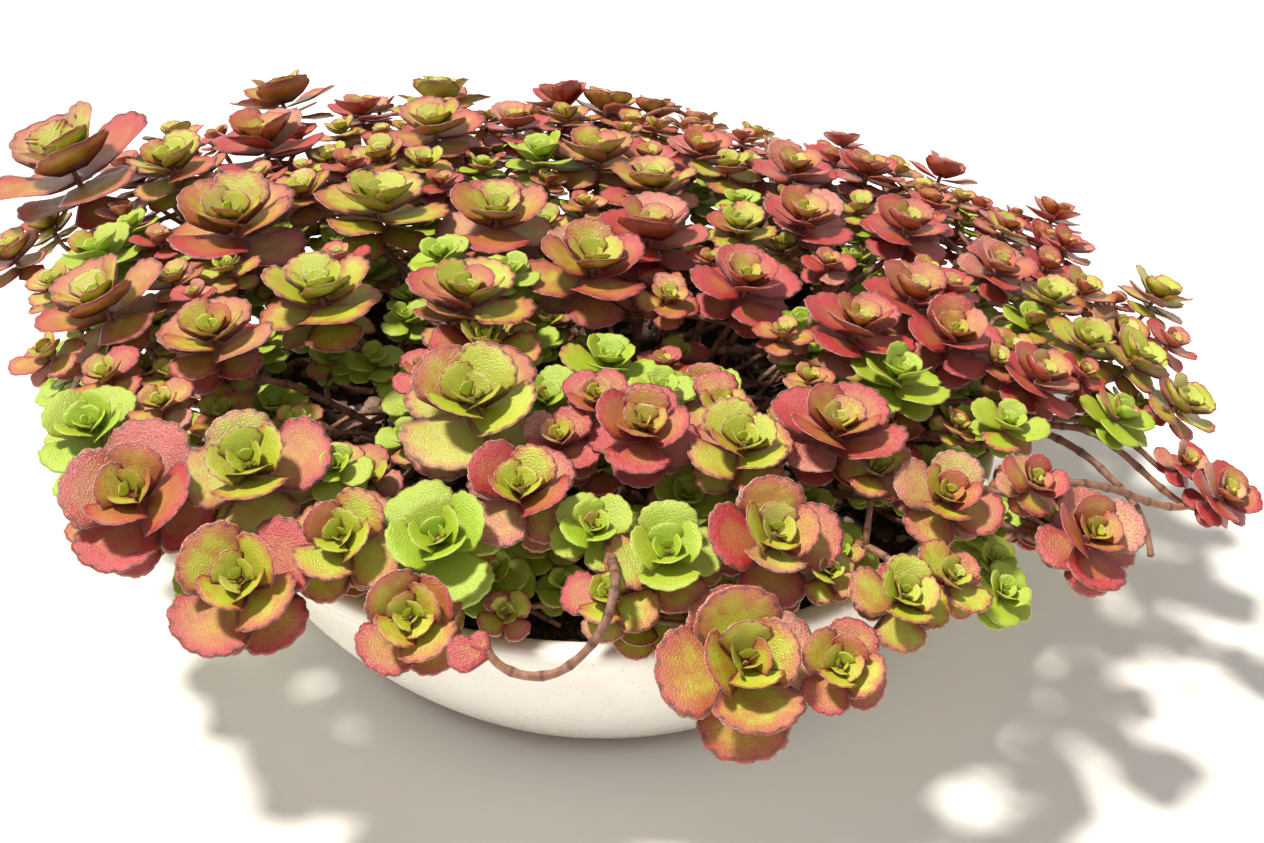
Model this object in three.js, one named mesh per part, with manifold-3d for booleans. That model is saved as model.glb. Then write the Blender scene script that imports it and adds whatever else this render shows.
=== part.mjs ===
import Module from 'manifold-3d';
import * as THREE from 'three';
import { mergeVertices } from 'three/addons/utils/BufferGeometryUtils.js';

// A shallow round pot of creeping stonecrop: the pot, its soil and the leafy stems that
// grow up out of it and spill over its rim. Millimetres, +Z up, the front towards -Y,
// with the origin at the middle of the pot's foot, on the surface that it stands on.

const wasm = await Module();
wasm.setup();

// Driving dimensions, in millimetres unless a line says otherwise.
const POT = { rim: 142, foot: 98, height: 80, wall: 6, floor: 8, lip: 3, sides: 32 };
const DRAIN = { count: 3, radius: 5, circle: 46, sides: 8 };
const SOIL = { edge: 70, crown: 75, relief: 1.2 };
const CLEARANCE = 0.3;
const STALK = { width: 2.4, branch: 2, pocket: 12, collar: 4 };

// The clump's upper surface: a flattened dome, higher on the left. `square` above 2 fills
// out the corners of its plan, `fall` shapes how late the edge drops, `turn` is in degrees.
const CANOPY = {
  x: 0, y: 15, left: 240, right: 222, front: 182, back: 200,
  turn: -12, square: 2.4, top: 138, drop: 40, fall: 3, lean: 0.06,
};

// How the photograph looks at the clump: the downward pitch in degrees, the distance to the
// target in millimetres, and the focal length and the picture's middle in pixels.
const VIEW = { pitch: 34, distance: 590, target: [10, -55, 106], focal: 1736, middle: [632, 421.5] };

// The leaf tones, each with the colour of the stem that bears it.
const YOUNG = { color: 0x9cc63f };
const LIME = { color: 0xb9c150 };
const PINK = { color: 0xc08468 };
const RED = { color: 0xb4514b };

// The shoots on each leafy stem. A shoot is [u, v, width, tone, lift]: the pixel of its
// middle and its width in the photograph, its tone, and how far its crown stands above the
// canopy's surface, or below it where the number is negative, in millimetres.
const LEAFY_STEMS = [
  [[68, 160, 142, PINK, 18]],
  [[171, 163, 84, LIME, 8], [177, 136, 50, LIME, 10]],
  [[265, 140, 100, RED, 0]],
  [[281, 97, 85, PINK, 0]],
  [[48, 352, 62, PINK, -2], [100, 253, 78, YOUNG, -4]],
  [[100, 301, 114, PINK, 0], [161, 339, 34, YOUNG, -22]],
  [[214, 335, 100, PINK, 0]],
  [[234, 221, 125, PINK, 0], [236, 288, 60, YOUNG, -24]],
  [[321, 293, 110, LIME, 0], [375, 360, 45, YOUNG, -26]],
  [[362, 110, 60, RED, 0], [330, 160, 52, LIME, -8]],
  [[380, 202, 108, LIME, 0], [303, 191, 62, PINK, -4]],
  [[435, 126, 85, PINK, 0], [380, 156, 55, PINK, -4]],
  [[443, 96, 76, LIME, 0]],
  [[424, 163, 48, LIME, -6], [483, 165, 36, YOUNG, -10]],
  [[497, 215, 102, PINK, 0], [423, 247, 32, YOUNG, -24]],
  [[542, 154, 64, YOUNG, -2], [515, 122, 60, RED, 0]],
  [[561, 100, 62, RED, 0]],
  [[609, 106, 66, PINK, 0], [655, 111, 50, PINK, 0]],
  [[598, 154, 82, PINK, 0], [588, 216, 28, YOUNG, -26]],
  [[652, 184, 88, PINK, 0], [700, 150, 62, RED, 0]],
  [[652, 230, 96, RED, 0], [663, 287, 50, PINK, -10], [697, 260, 44, LIME, -16]],
  [[593, 264, 112, PINK, 0], [545, 225, 50, LIME, -10]],
  [[468, 296, 108, LIME, 0], [486, 344, 90, LIME, -8]],
  [[746, 282, 92, RED, 0], [795, 346, 52, YOUNG, -24]],
  [[740, 226, 58, LIME, -4], [727, 168, 60, LIME, -2]],
  [[793, 169, 75, RED, 0], [743, 138, 34, RED, 0]],
  [[835, 160, 50, RED, -2]],
  [[805, 218, 82, RED, 0], [782, 248, 40, LIME, -12]],
  [[869, 169, 62, RED, 0], [859, 208, 46, LIME, -6]],
  [[907, 225, 80, RED, 0], [942, 172, 60, RED, 0]],
  [[998, 267, 68, RED, 0], [1005, 228, 52, LIME, 0]],
  [[1067, 246, 52, RED, 0], [1046, 265, 48, RED, -4]],
  [[914, 294, 88, RED, 0], [952, 288, 50, RED, 0]],
  [[859, 325, 95, RED, 0], [821, 273, 32, YOUNG, -20]],
  [[954, 336, 85, RED, 0], [1032, 322, 50, YOUNG, -8]],
  [[1088, 343, 70, LIME, 0], [1050, 298, 58, LIME, 0]],
  [[1136, 357, 72, LIME, 0], [1171, 343, 50, RED, 0]],
  [[1041, 376, 80, RED, 0], [994, 360, 52, PINK, -2]],
  [[1182, 402, 68, LIME, 0]],
  [[1225, 493, 66, RED, 0], [1186, 462, 48, RED, -4]],
  [[901, 376, 86, YOUNG, -4]],
  [[1008, 424, 62, YOUNG, -4], [957, 424, 40, LIME, -10]],
  [[837, 428, 112, RED, 0]],
  [[743, 446, 100, LIME, 0], [705, 395, 76, YOUNG, -16]],
  [[644, 427, 96, RED, 0], [609, 363, 76, YOUNG, -14]],
  [[472, 402, 140, LIME, 0], [523, 344, 55, YOUNG, -18]],
  [[521, 491, 108, PINK, 0], [545, 400, 62, YOUNG, -16]],
  [[135, 497, 134, RED, 0], [91, 427, 90, YOUNG, 0]],
  [[250, 467, 125, LIME, 0]],
  [[342, 539, 104, LIME, 0], [243, 583, 130, PINK, 0]],
  [[439, 540, 114, YOUNG, 0], [412, 619, 106, PINK, 0]],
  [[668, 553, 100, YOUNG, 0], [594, 529, 74, YOUNG, -2]],
  [[774, 536, 115, PINK, 0]],
  [[745, 665, 156, PINK, 0], [841, 667, 86, PINK, 0]],
  [[903, 597, 86, LIME, 0], [829, 572, 56, LIME, -4]],
  [[952, 578, 70, LIME, -2], [876, 471, 64, LIME, -4]],
  [[948, 497, 86, PINK, 0], [1034, 482, 60, PINK, 0]],
  [[1092, 536, 96, RED, 0]],
];

// The shoots are a little larger than they look, because the leaves under them show too.
const FULLNESS = 1.25;

// Shoots round the back, which the photograph doesn't show: a row along the canopy's edge,
// between two directions in degrees, alternately at the two depths below its surface.
const BACK_ROW = { from: 6, to: 174, count: 17, reach: 0.98, depths: [2, 9], lowest: 93, radius: 13.4, apart: 21 };

// The height of the stretch of a main stalk that its side stalks grow from, and its number.
const FORK = 3;
const MAIN_FORK = 2;
const MOST_FORKS = 2;
const NEAR_STEMS = 6;

// The roots stand closer to the pot's middle than the shoots, and apart from each other.
const ROOTS = { draw: 0.6, reach: 119, apart: 10, rounds: 60 };

// A leaf's outline, as shares of its length along it and across it, from its widest point to
// the middle of its tip. The far side mirrors it. The scallops are the steps between points.
const BROAD_EDGE = [[0.58, 0.46], [0.78, 0.4], [0.98, 0.22], [0.95, 0]];
const SMALL_EDGE = [[0.62, 0.44], [0.9, 0.26], [1, 0]];
const BUD_EDGE = [[0.66, 0.42], [1, 0]];

// The crossed pairs of leaves on a shoot, from the outermost, by the shoot's radius: each
// with its length as a share of that radius, its rise in degrees and its outline.
const LARGE = 13.5;
const MIDDLING = 9;
const LARGE_PAIRS = [
  { length: 1, rise: 6, edge: BROAD_EDGE },
  { length: 0.86, rise: 25, edge: BROAD_EDGE },
  { length: 0.54, rise: 50, edge: BUD_EDGE },
];
const MIDDLING_PAIRS = [
  { length: 1, rise: 10, edge: BROAD_EDGE },
  { length: 0.68, rise: 38, edge: BUD_EDGE },
];
const SLIGHT_PAIRS = [
  { length: 1, rise: 22, edge: SMALL_EDGE },
  { length: 0.62, rise: 48, edge: BUD_EDGE },
];

// The blade: its cup and its curl as shares of its length, its thickness, the place of its
// middle, and the room that it keeps to its neighbours.
const BLADE = { cup: 0.1, curl: 0.04, thickness: 1.7, middle: 0.58, room: 0.95 };

// Where a blade would touch a neighbour it bends up and shortens, in these steps.
const BENDS = [
  [0, 1], [10, 1], [0, 0.88], [20, 0.95], [10, 0.8], [32, 0.9], [-10, 0.9],
  [22, 0.74], [44, 0.8], [10, 0.64], [34, 0.62], [56, 0.6], [20, 0.5],
];
// Where a stalk would touch a neighbour its middle shifts sideways and up, in these steps.
const SHIFTS = [
  [0, 0], [5, 0], [-5, 0], [0, 5], [0, -4], [9, 2], [-9, 2], [5, 6], [-5, 6],
  [13, 0], [-13, 0], [9, 8], [-9, 8], [0, 10], [16, 5], [-16, 5], [7, -6], [-7, -6],
  [0, -8], [14, -6], [-14, -6], [20, 0], [-20, 0], [22, 8], [-22, 8], [0, 16],
];

const UP = new THREE.Vector3(0, 0, 1);
const radians = THREE.MathUtils.degToRad;
const at = (x, y, z) => new THREE.Vector3(x, y, z);

// A number from 0 to 1 that looks random and is always the same for the same key and salt.
function jitter(key, salt) {
  const wave = Math.sin(key * 127.1 + salt * 311.7) * 43758.5453;
  return wave - Math.floor(wave);
}

// The canopy's share of the way from its middle (0) to its edge (1) at a place in plan.
function canopyShare(x, y) {
  const turn = radians(CANOPY.turn);
  const dx = x - CANOPY.x;
  const dy = y - CANOPY.y;
  const along = dx * Math.cos(turn) + dy * Math.sin(turn);
  const across = -dx * Math.sin(turn) + dy * Math.cos(turn);
  const width = along < 0 ? CANOPY.left : CANOPY.right;
  const depth = across < 0 ? CANOPY.front : CANOPY.back;
  const sum = Math.abs(along / width) ** CANOPY.square + Math.abs(across / depth) ** CANOPY.square;
  return sum ** (1 / CANOPY.square);
}

function canopyHeight(x, y) {
  return CANOPY.top - CANOPY.drop * canopyShare(x, y) ** CANOPY.fall - CANOPY.lean * x;
}

// The way a shoot faces: square to the canopy, with a little play.
function facing(point, key) {
  const step = 4;
  const slopeX = (canopyHeight(point.x + step, point.y) - canopyHeight(point.x - step, point.y)) / (2 * step);
  const slopeY = (canopyHeight(point.x, point.y + step) - canopyHeight(point.x, point.y - step)) / (2 * step);
  const play = 0.28;
  return at(
    -slopeX + play * (jitter(key, 1) - 0.5),
    -slopeY + play * (jitter(key, 2) - 0.5),
    1,
  ).normalize();
}

// The place of a shoot's crown: down the line of sight through its pixel, where that line
// first meets the canopy raised by the shoot's lift, or else where it passes nearest to it.
function crown(u, v, lift) {
  const pitch = radians(VIEW.pitch);
  const ahead = at(0, Math.cos(pitch), -Math.sin(pitch));
  const above = at(0, Math.sin(pitch), Math.cos(pitch));
  const eye = at(...VIEW.target).addScaledVector(ahead, -VIEW.distance);
  const sight = ahead.clone()
    .add(at((u - VIEW.middle[0]) / VIEW.focal, 0, 0))
    .addScaledVector(above, (VIEW.middle[1] - v) / VIEW.focal);
  const gapAt = (depth) => {
    const place = eye.clone().addScaledVector(sight, depth);
    return place.z - canopyHeight(place.x, place.y) - lift;
  };
  const step = 2;
  const farthest = 900;
  let depth = 380;
  let nearest = depth;
  while (depth < farthest && gapAt(depth) > 0) {
    if (gapAt(depth) < gapAt(nearest)) nearest = depth;
    depth += step;
  }
  if (depth < farthest) {
    const before = gapAt(depth - step);
    nearest = depth - step + step * before / (before - gapAt(depth));
  }
  return { place: eye.addScaledVector(sight, nearest), depth: nearest };
}

function seenShoot([u, v, width, tone, lift], key) {
  const { place, depth } = crown(u, v, lift);
  const radius = FULLNESS * width / 2 * depth / VIEW.focal;
  return { key, place, tone, radius, normal: facing(place, key) };
}

// The place on the canopy at a direction in plan, where its share is as given.
function edgePlace(direction, share) {
  let inner = 0;
  let outer = 400;
  for (let round = 0; round < 24; round += 1) {
    const middle = (inner + outer) / 2;
    const x = CANOPY.x + middle * Math.cos(direction);
    const y = CANOPY.y + middle * Math.sin(direction);
    if (canopyShare(x, y) < share) inner = middle;
    else outer = middle;
  }
  const x = CANOPY.x + inner * Math.cos(direction);
  const y = CANOPY.y + inner * Math.sin(direction);
  return at(x, y, canopyHeight(x, y));
}

// Every leafy stem with its shoots, the first of them at the end of its main stalk.
function seenStems() {
  return LEAFY_STEMS.map((shoots, row) => ({
    shoots: shoots.map((shoot, column) => seenShoot(shoot, row * 10 + column)),
  }));
}

// The shoots round the back, where none of the seen ones is too near.
function backShoots(seen) {
  return Array.from({ length: BACK_ROW.count }, (_, step) => {
    const key = 1000 + step;
    const turn = (step + 0.3 + 0.4 * jitter(key, 3)) / BACK_ROW.count;
    const direction = radians(BACK_ROW.from + (BACK_ROW.to - BACK_ROW.from) * turn);
    const place = edgePlace(direction, BACK_ROW.reach + 0.04 * (step % 2));
    place.z = Math.max(place.z - BACK_ROW.depths[step % 2], BACK_ROW.lowest);
    const radius = BACK_ROW.radius * (0.8 + 0.4 * jitter(key, 4));
    return { key, place, radius, normal: facing(place, key) };
  }).filter(({ place }) => seen.every((other) => other.place.distanceTo(place) > BACK_ROW.apart));
}

// The roots in plan: each drawn in from its stem's shoots, then pushed apart in rounds.
function spreadRoots(stems) {
  const roots = stems.map((stem) => {
    const main = stem.shoots[0].place;
    const root = new THREE.Vector2(main.x, main.y).multiplyScalar(ROOTS.draw);
    return root.clampLength(0, ROOTS.reach);
  });
  for (let round = 0; round < ROOTS.rounds; round += 1) {
    roots.forEach((root, row) => {
      roots.slice(row + 1).forEach((other) => {
        const between = other.clone().sub(root);
        const short = ROOTS.apart - between.length();
        if (short <= 0) return;
        between.setLength(short / 2);
        root.sub(between);
        other.add(between);
      });
      root.clampLength(0, ROOTS.reach);
    });
  }
  return roots;
}

function soilHeight(x, y) {
  const inside = Math.hypot(x, y) / (POT.rim - POT.wall);
  const mound = SOIL.edge + (SOIL.crown - SOIL.edge) * (1 - inside ** 2);
  return mound + SOIL.relief * Math.sin(x / 17) * Math.cos(y / 13 + x / 31);
}

// A solid from a closed geometry: only places are kept, and doubled corners are merged.
function solidOf(geometry) {
  const bare = geometry.clone();
  bare.deleteAttribute('normal');
  bare.deleteAttribute('uv');
  const merged = mergeVertices(bare, 1e-4);
  const corners = merged.index.array;
  const kept = [];
  for (let first = 0; first < corners.length; first += 3) {
    const [a, b, c] = corners.slice(first, first + 3);
    if (a !== b && b !== c && c !== a) kept.push(a, b, c);
  }
  return solidFrom(merged.attributes.position.array, kept);
}

function solidFrom(places, corners) {
  return new wasm.Manifold(new wasm.Mesh({
    numProp: 3,
    vertProperties: Float32Array.from(places),
    triVerts: Uint32Array.from(corners),
  }));
}

function geometryOf(solid) {
  const mesh = solid.getMesh();
  const geometry = new THREE.BufferGeometry();
  geometry.setAttribute('position', new THREE.BufferAttribute(mesh.vertProperties, 3));
  geometry.setIndex(new THREE.BufferAttribute(mesh.triVerts, 1));
  geometry.computeVertexNormals();
  return geometry;
}

function boxOf(solid) {
  const { min, max } = solid.boundingBox();
  return new THREE.Box3(at(...min), at(...max));
}

// The bowl's outer radius at a height: steep at the foot and nearly upright at the rim.
function bowlRadius(height) {
  return POT.foot + (POT.rim - POT.foot) * Math.sin(Math.PI / 2 * height / POT.height) ** 0.9;
}

function lathe(profile, sides) {
  const points = profile.map(([radius, height]) => new THREE.Vector2(radius, height));
  return new THREE.LatheGeometry(points, sides).rotateX(Math.PI / 2);
}

// The heights at which the bowl's side bends, as shares of its height.
const BELLY = [0.15, 0.42, 0.72];

// The bowl's inner side from its floor to its mouth, as [radius, height].
function innerSide() {
  const sides = BELLY.slice(1).map((share) => [bowlRadius(share * POT.height) - POT.wall, share * POT.height]);
  return [[POT.foot, POT.floor], ...sides, [POT.rim - POT.wall, POT.height]];
}

function makePot() {
  const outside = BELLY.map((share) => [bowlRadius(share * POT.height), share * POT.height]);
  const brim = POT.rim + POT.lip;
  const profile = [
    [0, 0], [POT.foot, 0], ...outside,
    [POT.rim, POT.height - 8], [brim, POT.height - 6], [brim, POT.height - 1.5], [brim - 2, POT.height],
    ...innerSide().reverse(), [0, POT.floor],
  ];
  let pot = solidOf(lathe(profile, POT.sides));
  for (let hole = 0; hole < DRAIN.count; hole += 1) {
    const turn = 2 * Math.PI * hole / DRAIN.count + Math.PI / 2;
    const bore = new THREE.CylinderGeometry(DRAIN.radius, DRAIN.radius, 3 * POT.floor, DRAIN.sides)
      .rotateX(Math.PI / 2)
      .translate(DRAIN.circle * Math.cos(turn), DRAIN.circle * Math.sin(turn), 0);
    pot = pot.subtract(solidOf(bore));
  }
  return pot;
}

// The soil: a turned plug that follows the pot's wall, with a low uneven top.
function makeSoil(stems) {
  const [floor, low, high, mouth] = innerSide();
  const share = (SOIL.edge - high[1]) / (mouth[1] - high[1]);
  const edge = [high[0] + (mouth[0] - high[0]) * share, SOIL.edge];
  const side = [low, high, edge].map(([radius, height]) => [radius - 2 * CLEARANCE, height]);
  const foot = POT.floor + CLEARANCE;
  const rings = [0.85, 0.6, 0.3].map((part) => [part * edge[0], SOIL.crown]);
  const profile = [[0, foot], [floor[0] - 1, foot], ...side, ...rings, [0, SOIL.crown]];
  const plug = lathe(profile, POT.sides);
  const places = plug.attributes.position;
  for (let corner = 0; corner < places.count; corner += 1) {
    const lifted = soilHeight(places.getX(corner), places.getY(corner));
    if (places.getZ(corner) > SOIL.crown - 1e-3) places.setZ(corner, lifted);
  }
  let soil = solidOf(plug);
  stems.forEach((stem) => {
    const [{ point: start, side: frame }] = stalkSections(stem.shoots[0]);
    const width = STALK.width + 2 * CLEARANCE;
    const depth = STALK.pocket + CLEARANCE;
    const hole = new THREE.BoxGeometry(width, width, 2 * depth)
      .rotateZ(Math.atan2(frame.y, frame.x))
      .translate(start.x, start.y, start.z - CLEARANCE + depth);
    soil = soil.subtract(solidOf(hole));
  });
  return soil;
}

// A square section round a point: its four corners, counted anticlockwise about `along`.
function section(point, along, side, width) {
  const across = along.clone().cross(side);
  return [[1, 1], [-1, 1], [-1, -1], [1, -1]].map(([a, b]) => (
    point.clone().addScaledVector(side, a * width / 2).addScaledVector(across, b * width / 2)
  ));
}

// A list of corners and triangles that a stalk's sections and leaves are added to.
class Shell {
  constructor() {
    this.places = [];
    this.corners = [];
  }

  add(point) {
    this.places.push(point.x, point.y, point.z);
    return this.places.length / 3 - 1;
  }

  point(corner) {
    return at(...this.places.slice(3 * corner, 3 * corner + 3));
  }

  face(...loop) {
    for (let next = 1; next < loop.length - 1; next += 1) {
      this.corners.push(loop[0], loop[next], loop[next + 1]);
    }
  }

  solid() {
    return solidFrom(this.places, this.corners);
  }
}

// Sews a blade onto a quad [a, b, c, d] of a stalk: a and b below, c and d above them. The
// blade is a lens: one fan of triangles above and one below, about the blade's middle.
function sewBlade(shell, quad, leaf) {
  const [a, b, c, d] = quad;
  const surface = (along, across, lift) => {
    const rise = along * Math.sin(leaf.rise) + BLADE.curl * along ** 2 + BLADE.cup * (across / 0.45) ** 2 * along;
    return leaf.base.clone()
      .addScaledVector(leaf.out, leaf.length * along * Math.cos(leaf.rise))
      .addScaledVector(leaf.across, leaf.length * across)
      .addScaledVector(leaf.up, leaf.length * rise + lift);
  };
  const half = leaf.edge.map(([along, across]) => shell.add(surface(along, -across, 0)));
  const mirrored = leaf.edge.slice(0, -1).reverse()
    .map(([along, across]) => shell.add(surface(along, across, 0)));
  const rim = [...half, ...mirrored];
  const above = shell.add(surface(BLADE.middle, 0, 0.4 * leaf.thickness));
  const below = shell.add(surface(BLADE.middle, 0, -0.6 * leaf.thickness));
  const upper = [d, ...rim, c];
  const lower = [a, ...rim, b];
  upper.forEach((corner, step) => shell.face(corner, upper[(step + 1) % upper.length], above));
  lower.forEach((corner, step) => shell.face(lower[(step + 1) % lower.length], corner, below));
  shell.face(d, a, rim[0]);
  shell.face(b, c, rim[rim.length - 1]);
}

// The stalk's sections from its foot to its tip, each with its direction and its width.
function stalkSections(shoot) {
  const { place, normal, pairs, step } = shoot;
  const points = shoot.route.map((point) => point.clone());
  const alongs = points.map((point, row) => {
    const before = points[Math.max(row - 1, 0)];
    const after = points[row + 1] ?? place;
    return after.clone().sub(before).normalize();
  });
  if (shoot.rooted) {
    alongs[0] = UP.clone();
    alongs[1] = UP.clone();
  }
  for (let pair = 0; pair <= pairs.length; pair += 1) {
    points.push(place.clone().addScaledVector(normal, (pair - pairs.length) * step));
    alongs.push(normal.clone());
  }
  const width = shoot.rooted ? STALK.width : STALK.branch;
  const sides = [];
  let side = shoot.side.clone();
  for (let row = points.length - 1; row >= 0; row -= 1) {
    side = side.clone().addScaledVector(alongs[row], -side.dot(alongs[row])).normalize();
    if (shoot.rooted && row === 0) side = sides[0].clone();
    sides.unshift(side);
  }
  return points.map((point, row) => ({ point, along: alongs[row], side: sides[row], width }));
}

// The corners of each of a stalk's sections. A side stalk's first section is the quad that
// it grows from, with its corners counted from the one that turns its first stretch least.
function stalkRings(shell, shoot, extra, quad) {
  const rings = stalkSections(shoot).map(({ point, along, side, width }) => section(point, along, side, width + extra));
  const turned = quad && [0, 1, 2, 3]
    .map((turn) => [...quad.slice(turn), ...quad.slice(0, turn)])
    .map((ring) => ({ ring, reach: ring.reduce((sum, one, row) => sum + shell.point(one).distanceTo(rings[1][row]), 0) }))
    .sort((one, other) => one.reach - other.reach)[0].ring;
  return rings.map((ring, row) => (row === 0 && turned) || ring.map((corner) => shell.add(corner)));
}

// Adds a stalk to a shell with the blades that it bears and the side stalks that leave it.
function sewStalk(shell, shoot, { bearing, extra = 0, quad = null }) {
  const rings = stalkRings(shell, shoot, extra, quad);
  const firstBand = shoot.route.length;
  if (!quad) shell.face(...[...rings[0]].reverse());
  rings.slice(1).forEach((upper, row) => {
    const lower = rings[row];
    for (let face = 0; face < 4; face += 1) {
      const previous = (face + 3) % 4;
      const side = [lower[previous], lower[face], upper[face], upper[previous]];
      const isHere = (one) => one.face === face;
      const leaf = bearing && row >= firstBand && shoot.leaves.find((one) => one.band === row - firstBand && isHere(one));
      const fork = bearing && row === MAIN_FORK && shoot.forks.find(isHere);
      if (leaf) sewBlade(shell, side, leaf);
      else if (fork) sewStalk(shell, fork.shoot, { bearing, quad: side });
      else shell.face(...side);
    }
  });
  const tip = shell.add(shoot.place.clone().addScaledVector(shoot.normal, shoot.step + extra));
  rings.at(-1).forEach((corner, face) => shell.face(corner, rings.at(-1)[(face + 1) % 4], tip));
}

function stalkSolid(shoot, options) {
  const shell = new Shell();
  sewStalk(shell, shoot, options);
  return shell.solid();
}

// One blade as a closed solid of its own, larger all round by the room that it keeps.
function looseBlade(leaf) {
  const shell = new Shell();
  const along = leaf.out;
  const height = leaf.step;
  const corner = (across, up) => shell.add(
    leaf.base.clone().addScaledVector(leaf.across, across).addScaledVector(leaf.up, up),
  );
  const half = STALK.branch / 2;
  const quad = [corner(-half, -height / 2), corner(half, -height / 2), corner(half, height / 2), corner(-half, height / 2)];
  const room = BLADE.room;
  sewBlade(shell, quad, {
    ...leaf,
    base: leaf.base.clone().addScaledVector(along, -room / 2),
    length: leaf.length + 2 * room,
    thickness: leaf.thickness + 2 * room,
  });
  shell.face(quad[3], quad[2], quad[1], quad[0]);
  return shell.solid();
}

// The solids that a new piece has to clear, each with the shoot that it belongs to.
class Crowd {
  constructor() {
    this.members = [];
  }

  add(solid, owner) {
    this.members.push({ solid, owner, box: boxOf(solid) });
  }

  isClear(solid, isOwn) {
    const box = boxOf(solid);
    return !this.members.some((member) => {
      if (isOwn(member.owner) || !box.intersectsBox(member.box)) return false;
      const shared = solid.intersect(member.solid);
      const touches = shared.volume() > 1e-4;
      shared.delete();
      return touches;
    });
  }
}

// The leaves of a shoot, each as the first of its bends that is clear of the crowd.
function setLeaves(shoot, crowd) {
  shoot.leaves = [];
  shoot.pairs.forEach((pair, band) => {
    const middle = shoot.place.clone()
      .addScaledVector(shoot.normal, (band + 0.5 - shoot.pairs.length) * shoot.step);
    const turned = shoot.side.clone().applyAxisAngle(shoot.normal, (band % 2) * Math.PI / 2);
    [0, 2].forEach((opposite) => {
      const face = opposite + (band % 2);
      const out = turned.clone().multiplyScalar(opposite === 0 ? 1 : -1);
      const key = shoot.key * 8 + face + 4 * band;
      const width = shoot.rooted ? STALK.width : STALK.branch;
      const full = {
        band, face, out, up: shoot.normal, across: shoot.normal.clone().cross(out),
        base: middle.clone().addScaledVector(out, width / 2),
        edge: pair.edge, step: shoot.step, thickness: BLADE.thickness,
        length: shoot.radius * pair.length * (0.92 + 0.16 * jitter(key, 5)),
        rise: radians(pair.rise + 10 * (jitter(key, 6) - 0.5)),
      };
      for (const [bend, share] of BENDS) {
        const leaf = { ...full, rise: full.rise + radians(bend), length: full.length * share };
        const blade = looseBlade(leaf);
        if (crowd.isClear(blade, (owner) => owner === shoot)) {
          shoot.leaves.push(leaf);
          crowd.add(blade, shoot);
          return;
        }
        blade.delete();
      }
    });
  });
}

function pairsFor(radius) {
  if (radius >= LARGE) return LARGE_PAIRS;
  return radius >= MIDDLING ? MIDDLING_PAIRS : SLIGHT_PAIRS;
}

// The way of a stalk from its foot to just under its leaves, with its middle shifted. The
// middle of a main stalk is a short stretch, which its side stalks grow from.
function routeStalk(shoot, start, [sideways, upwards]) {
  const neck = shoot.place.clone().addScaledVector(shoot.normal, -(shoot.pairs.length + 2) * shoot.step);
  const from = start.at(-1);
  const span = neck.clone().sub(from);
  const lateral = at(-span.y, span.x, 0).normalize();
  const arch = 0.09 * Math.hypot(span.x, span.y);
  const middle = from.clone().addScaledVector(span, 0.5)
    .addScaledVector(lateral, sideways).add(at(0, 0, arch + upwards));
  if (!shoot.rooted) return shoot.radius < MIDDLING ? [...start, middle] : [...start, middle, neck];
  const rise = span.setLength(FORK / 2);
  return [...start, middle.clone().sub(rise), middle.add(rise), neck];
}

// Settles a stalk on the first of its starts and shifts that is clear of the other stalks.
function setStalk(shoot, starts, crowd, stem) {
  for (const { start, face } of starts) {
    for (const shift of SHIFTS) {
      shoot.route = routeStalk(shoot, start, shift);
      const trial = stalkSolid(shoot, { bearing: false, extra: 3 * CLEARANCE });
      if (crowd.isClear(trial, (owner) => owner === stem.shoots[0])) {
        crowd.add(trial, shoot);
        return face ?? 0;
      }
      trial.delete();
    }
  }
  return null;
}

// The free faces of a main stalk's fork, with the one that looks most towards the shoot first.
function forkStarts(main, shoot) {
  const [, , lower, upper] = stalkSections(main);
  const middle = lower.point.clone().add(upper.point).multiplyScalar(0.5);
  const wish = shoot.place.clone().sub(middle).normalize();
  const taken = main.forks.map((fork) => fork.face);
  return [0, 1, 2, 3].filter((face) => !taken.includes(face)).map((face) => {
    const out = upper.side.clone().applyAxisAngle(upper.along, face * Math.PI / 2);
    return { face, start: [middle.clone().addScaledVector(out, STALK.width / 2)], match: out.dot(wish) };
  }).sort((one, other) => other.match - one.match).slice(0, 2);
}

// Gives a shoot its pairs of leaves and turns it about its own axis.
function prepare(shoot) {
  shoot.pairs = pairsFor(shoot.radius);
  shoot.step = Math.max(1.3, 0.09 * shoot.radius);
  shoot.forks = [];
  const helper = Math.abs(shoot.normal.x) < 0.9 ? at(1, 0, 0) : at(0, 1, 0);
  const level = helper.addScaledVector(shoot.normal, -helper.dot(shoot.normal)).normalize();
  shoot.side = level.applyAxisAngle(shoot.normal, Math.PI * jitter(shoot.key, 7));
}

// Grows a side stalk from the first of the stems given that leaves it a clear way.
function setSideStalk(shoot, stems, crowd) {
  return stems.some((stem) => {
    const main = stem.shoots[0];
    const face = setStalk(shoot, forkStarts(main, shoot), crowd, stem);
    if (face !== null) main.forks.push({ shoot, face });
    return face !== null;
  });
}

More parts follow.
